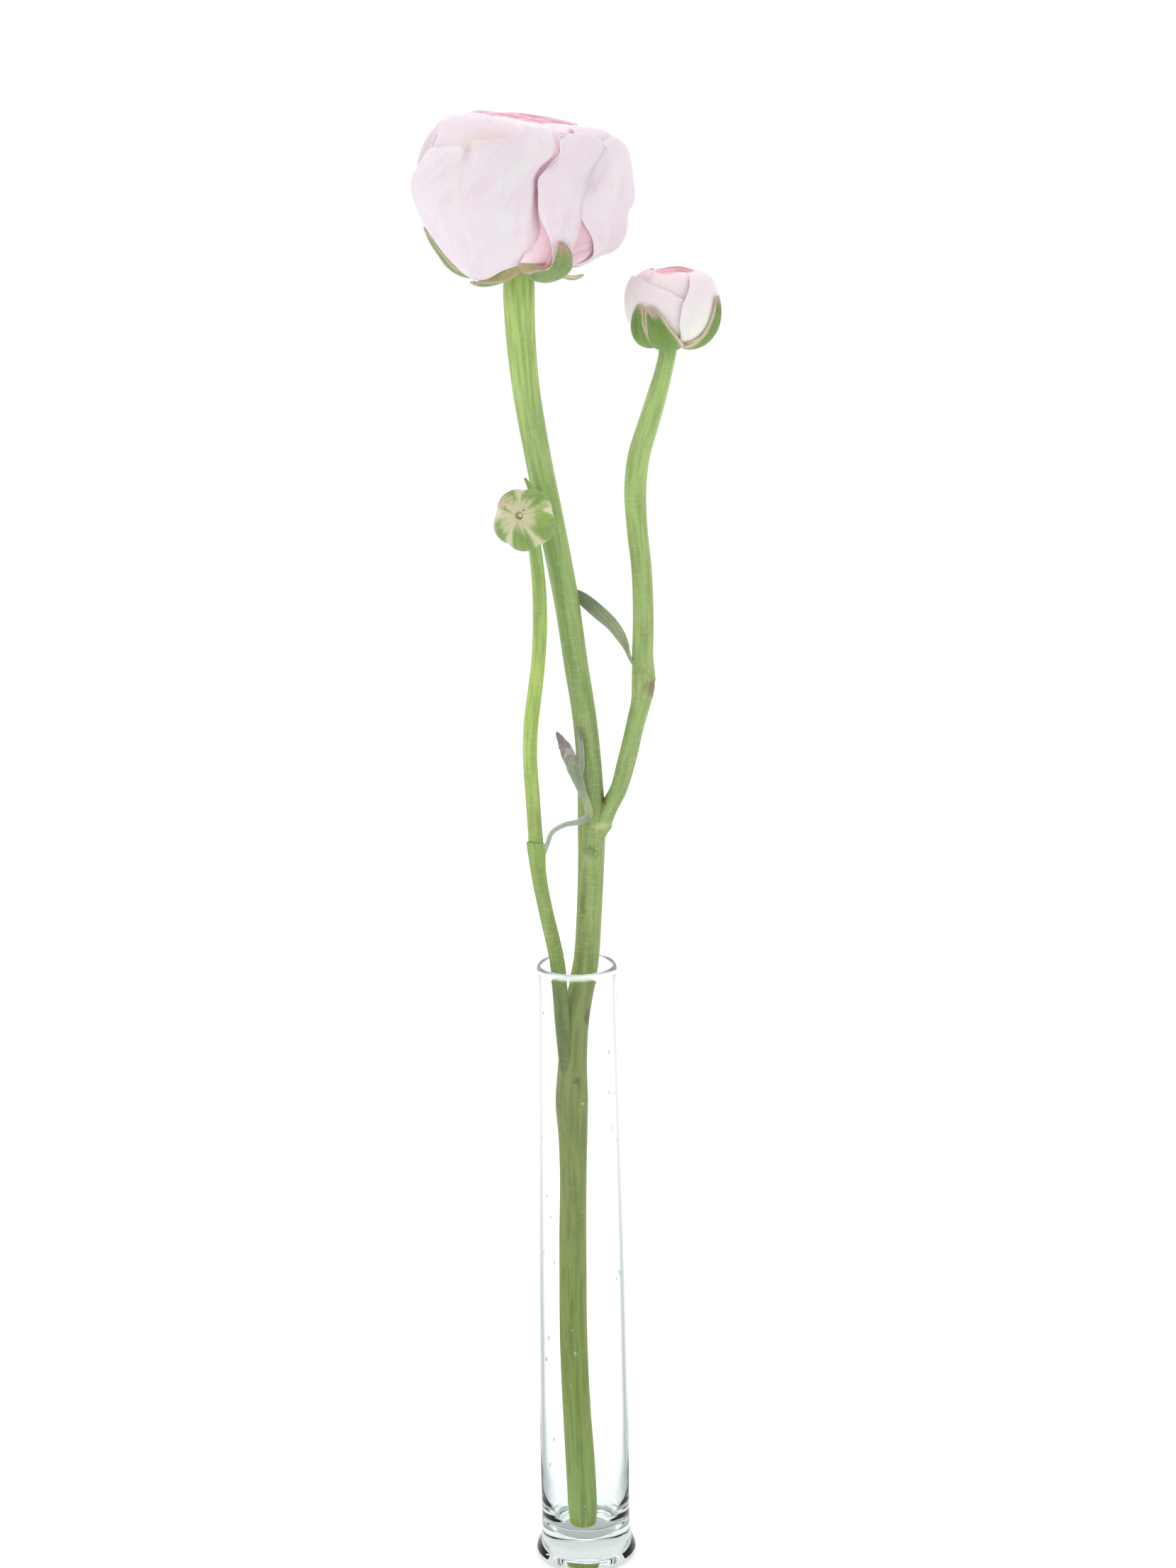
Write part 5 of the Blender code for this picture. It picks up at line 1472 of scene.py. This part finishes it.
def makeVase():
    made = vaseSettings
    outline = [along(made[part], np.linspace(0, 1, count)) for part, count in made["samples"].items()]
    outline = np.concatenate(outline)
    outline = outline[np.concatenate([[True], np.linalg.norm(np.diff(outline, axis=0), axis=1) > 0.01])]
    sides = made["sides"]
    turn = np.linspace(0, fullTurn, sides, endpoint=False)
    radius, height = outline[1:-1, :1], outline[1:-1, 1:]
    uneven = made["baseWave"] * ripple(turn[None, :] * 3, height / 3, 77, 8)
    uneven = uneven * bell(height, made["baseHeight"]) * limited(height / 3)
    bend = around(radius + uneven, turn, height + 0 * turn)
    points = np.concatenate([[[0, 0, outline[0, 1]]], bend.reshape(-1, 3), [[0, 0, outline[-1, 1]]]])
    glass = {"points": points, "faces": cappedFaces(len(bend), sides), "look": 0 * points, "place": points}
    look = makeGlassMaterial("clearGlass", made["tint"])
    tree = look.node_tree
    values = {"Color": rgb(made["absorb"]), "Density": made["density"]}
    absorbing = node(tree, "ShaderNodeVolumeAbsorption", values)
    tree.links.new(absorbing.outputs[0], tree.nodes["Material Output"].inputs["Volume"])
    addPiece("vaseGlass", [glass], look, "vase", made["sharpAngle"])
    drops = made["drops"]
    draw = np.random.default_rng(drops["seed"])
    wall = [(height, radius) for radius, height in made["inner"][4:]]
    shells = []
    for k in range(drops["count"]):
        at = drops["low"] + (drops["high"] - drops["low"]) * draw.uniform() ** 1.3
        turn = draw.uniform(0, fullTurn)
        size = draw.uniform(*drops["size"])
        shells.append(dropShell(profile(wall, at) - 0.02, at, turn, size, draw.uniform(*drops["stretch"])))
    look = makeGlassMaterial("waterDrops", drops["tint"])
    addPiece("vaseDroplets", shells, look, None, made["sharpAngle"])


def dropShell(wall, height, turn, size, stretch):
    # a flattened drop that hangs on the inside of the wall
    rows, columns = 7, 14
    up = np.linspace(0, math.pi, rows + 2)[1:-1, None]
    beside = np.linspace(0, fullTurn, columns, endpoint=False)
    inward = np.maximum(0.45 * size * np.sin(up) * np.cos(beside), -0.02)
    side = size * np.sin(up) * np.sin(beside)
    rise = size * stretch * np.cos(up)
    rise = rise * (1 - 0.25 * (rise > 0)) + 0 * side
    local = np.stack([side, inward, rise], -1).reshape(-1, 3)
    local = np.concatenate([[[0, 0.0, size * stretch * 0.75]], local, [[0, 0.0, -size * stretch]]])
    points = around(wall - local[:, 1], turn + local[:, 0] / wall, height + local[:, 2])
    faces = cappedFaces(rows, columns)[:, ::-1]
    return {"points": points, "faces": faces, "look": 0 * points, "place": points}


makeCamera()
makeFloor()
makeLights()
makeWorld()
print("camera, floor and light ready")
makeVase()
makeStems()
makeBracts()
makeBloom()
makeRightBud()
makeSmallBud()
print("flower ready")
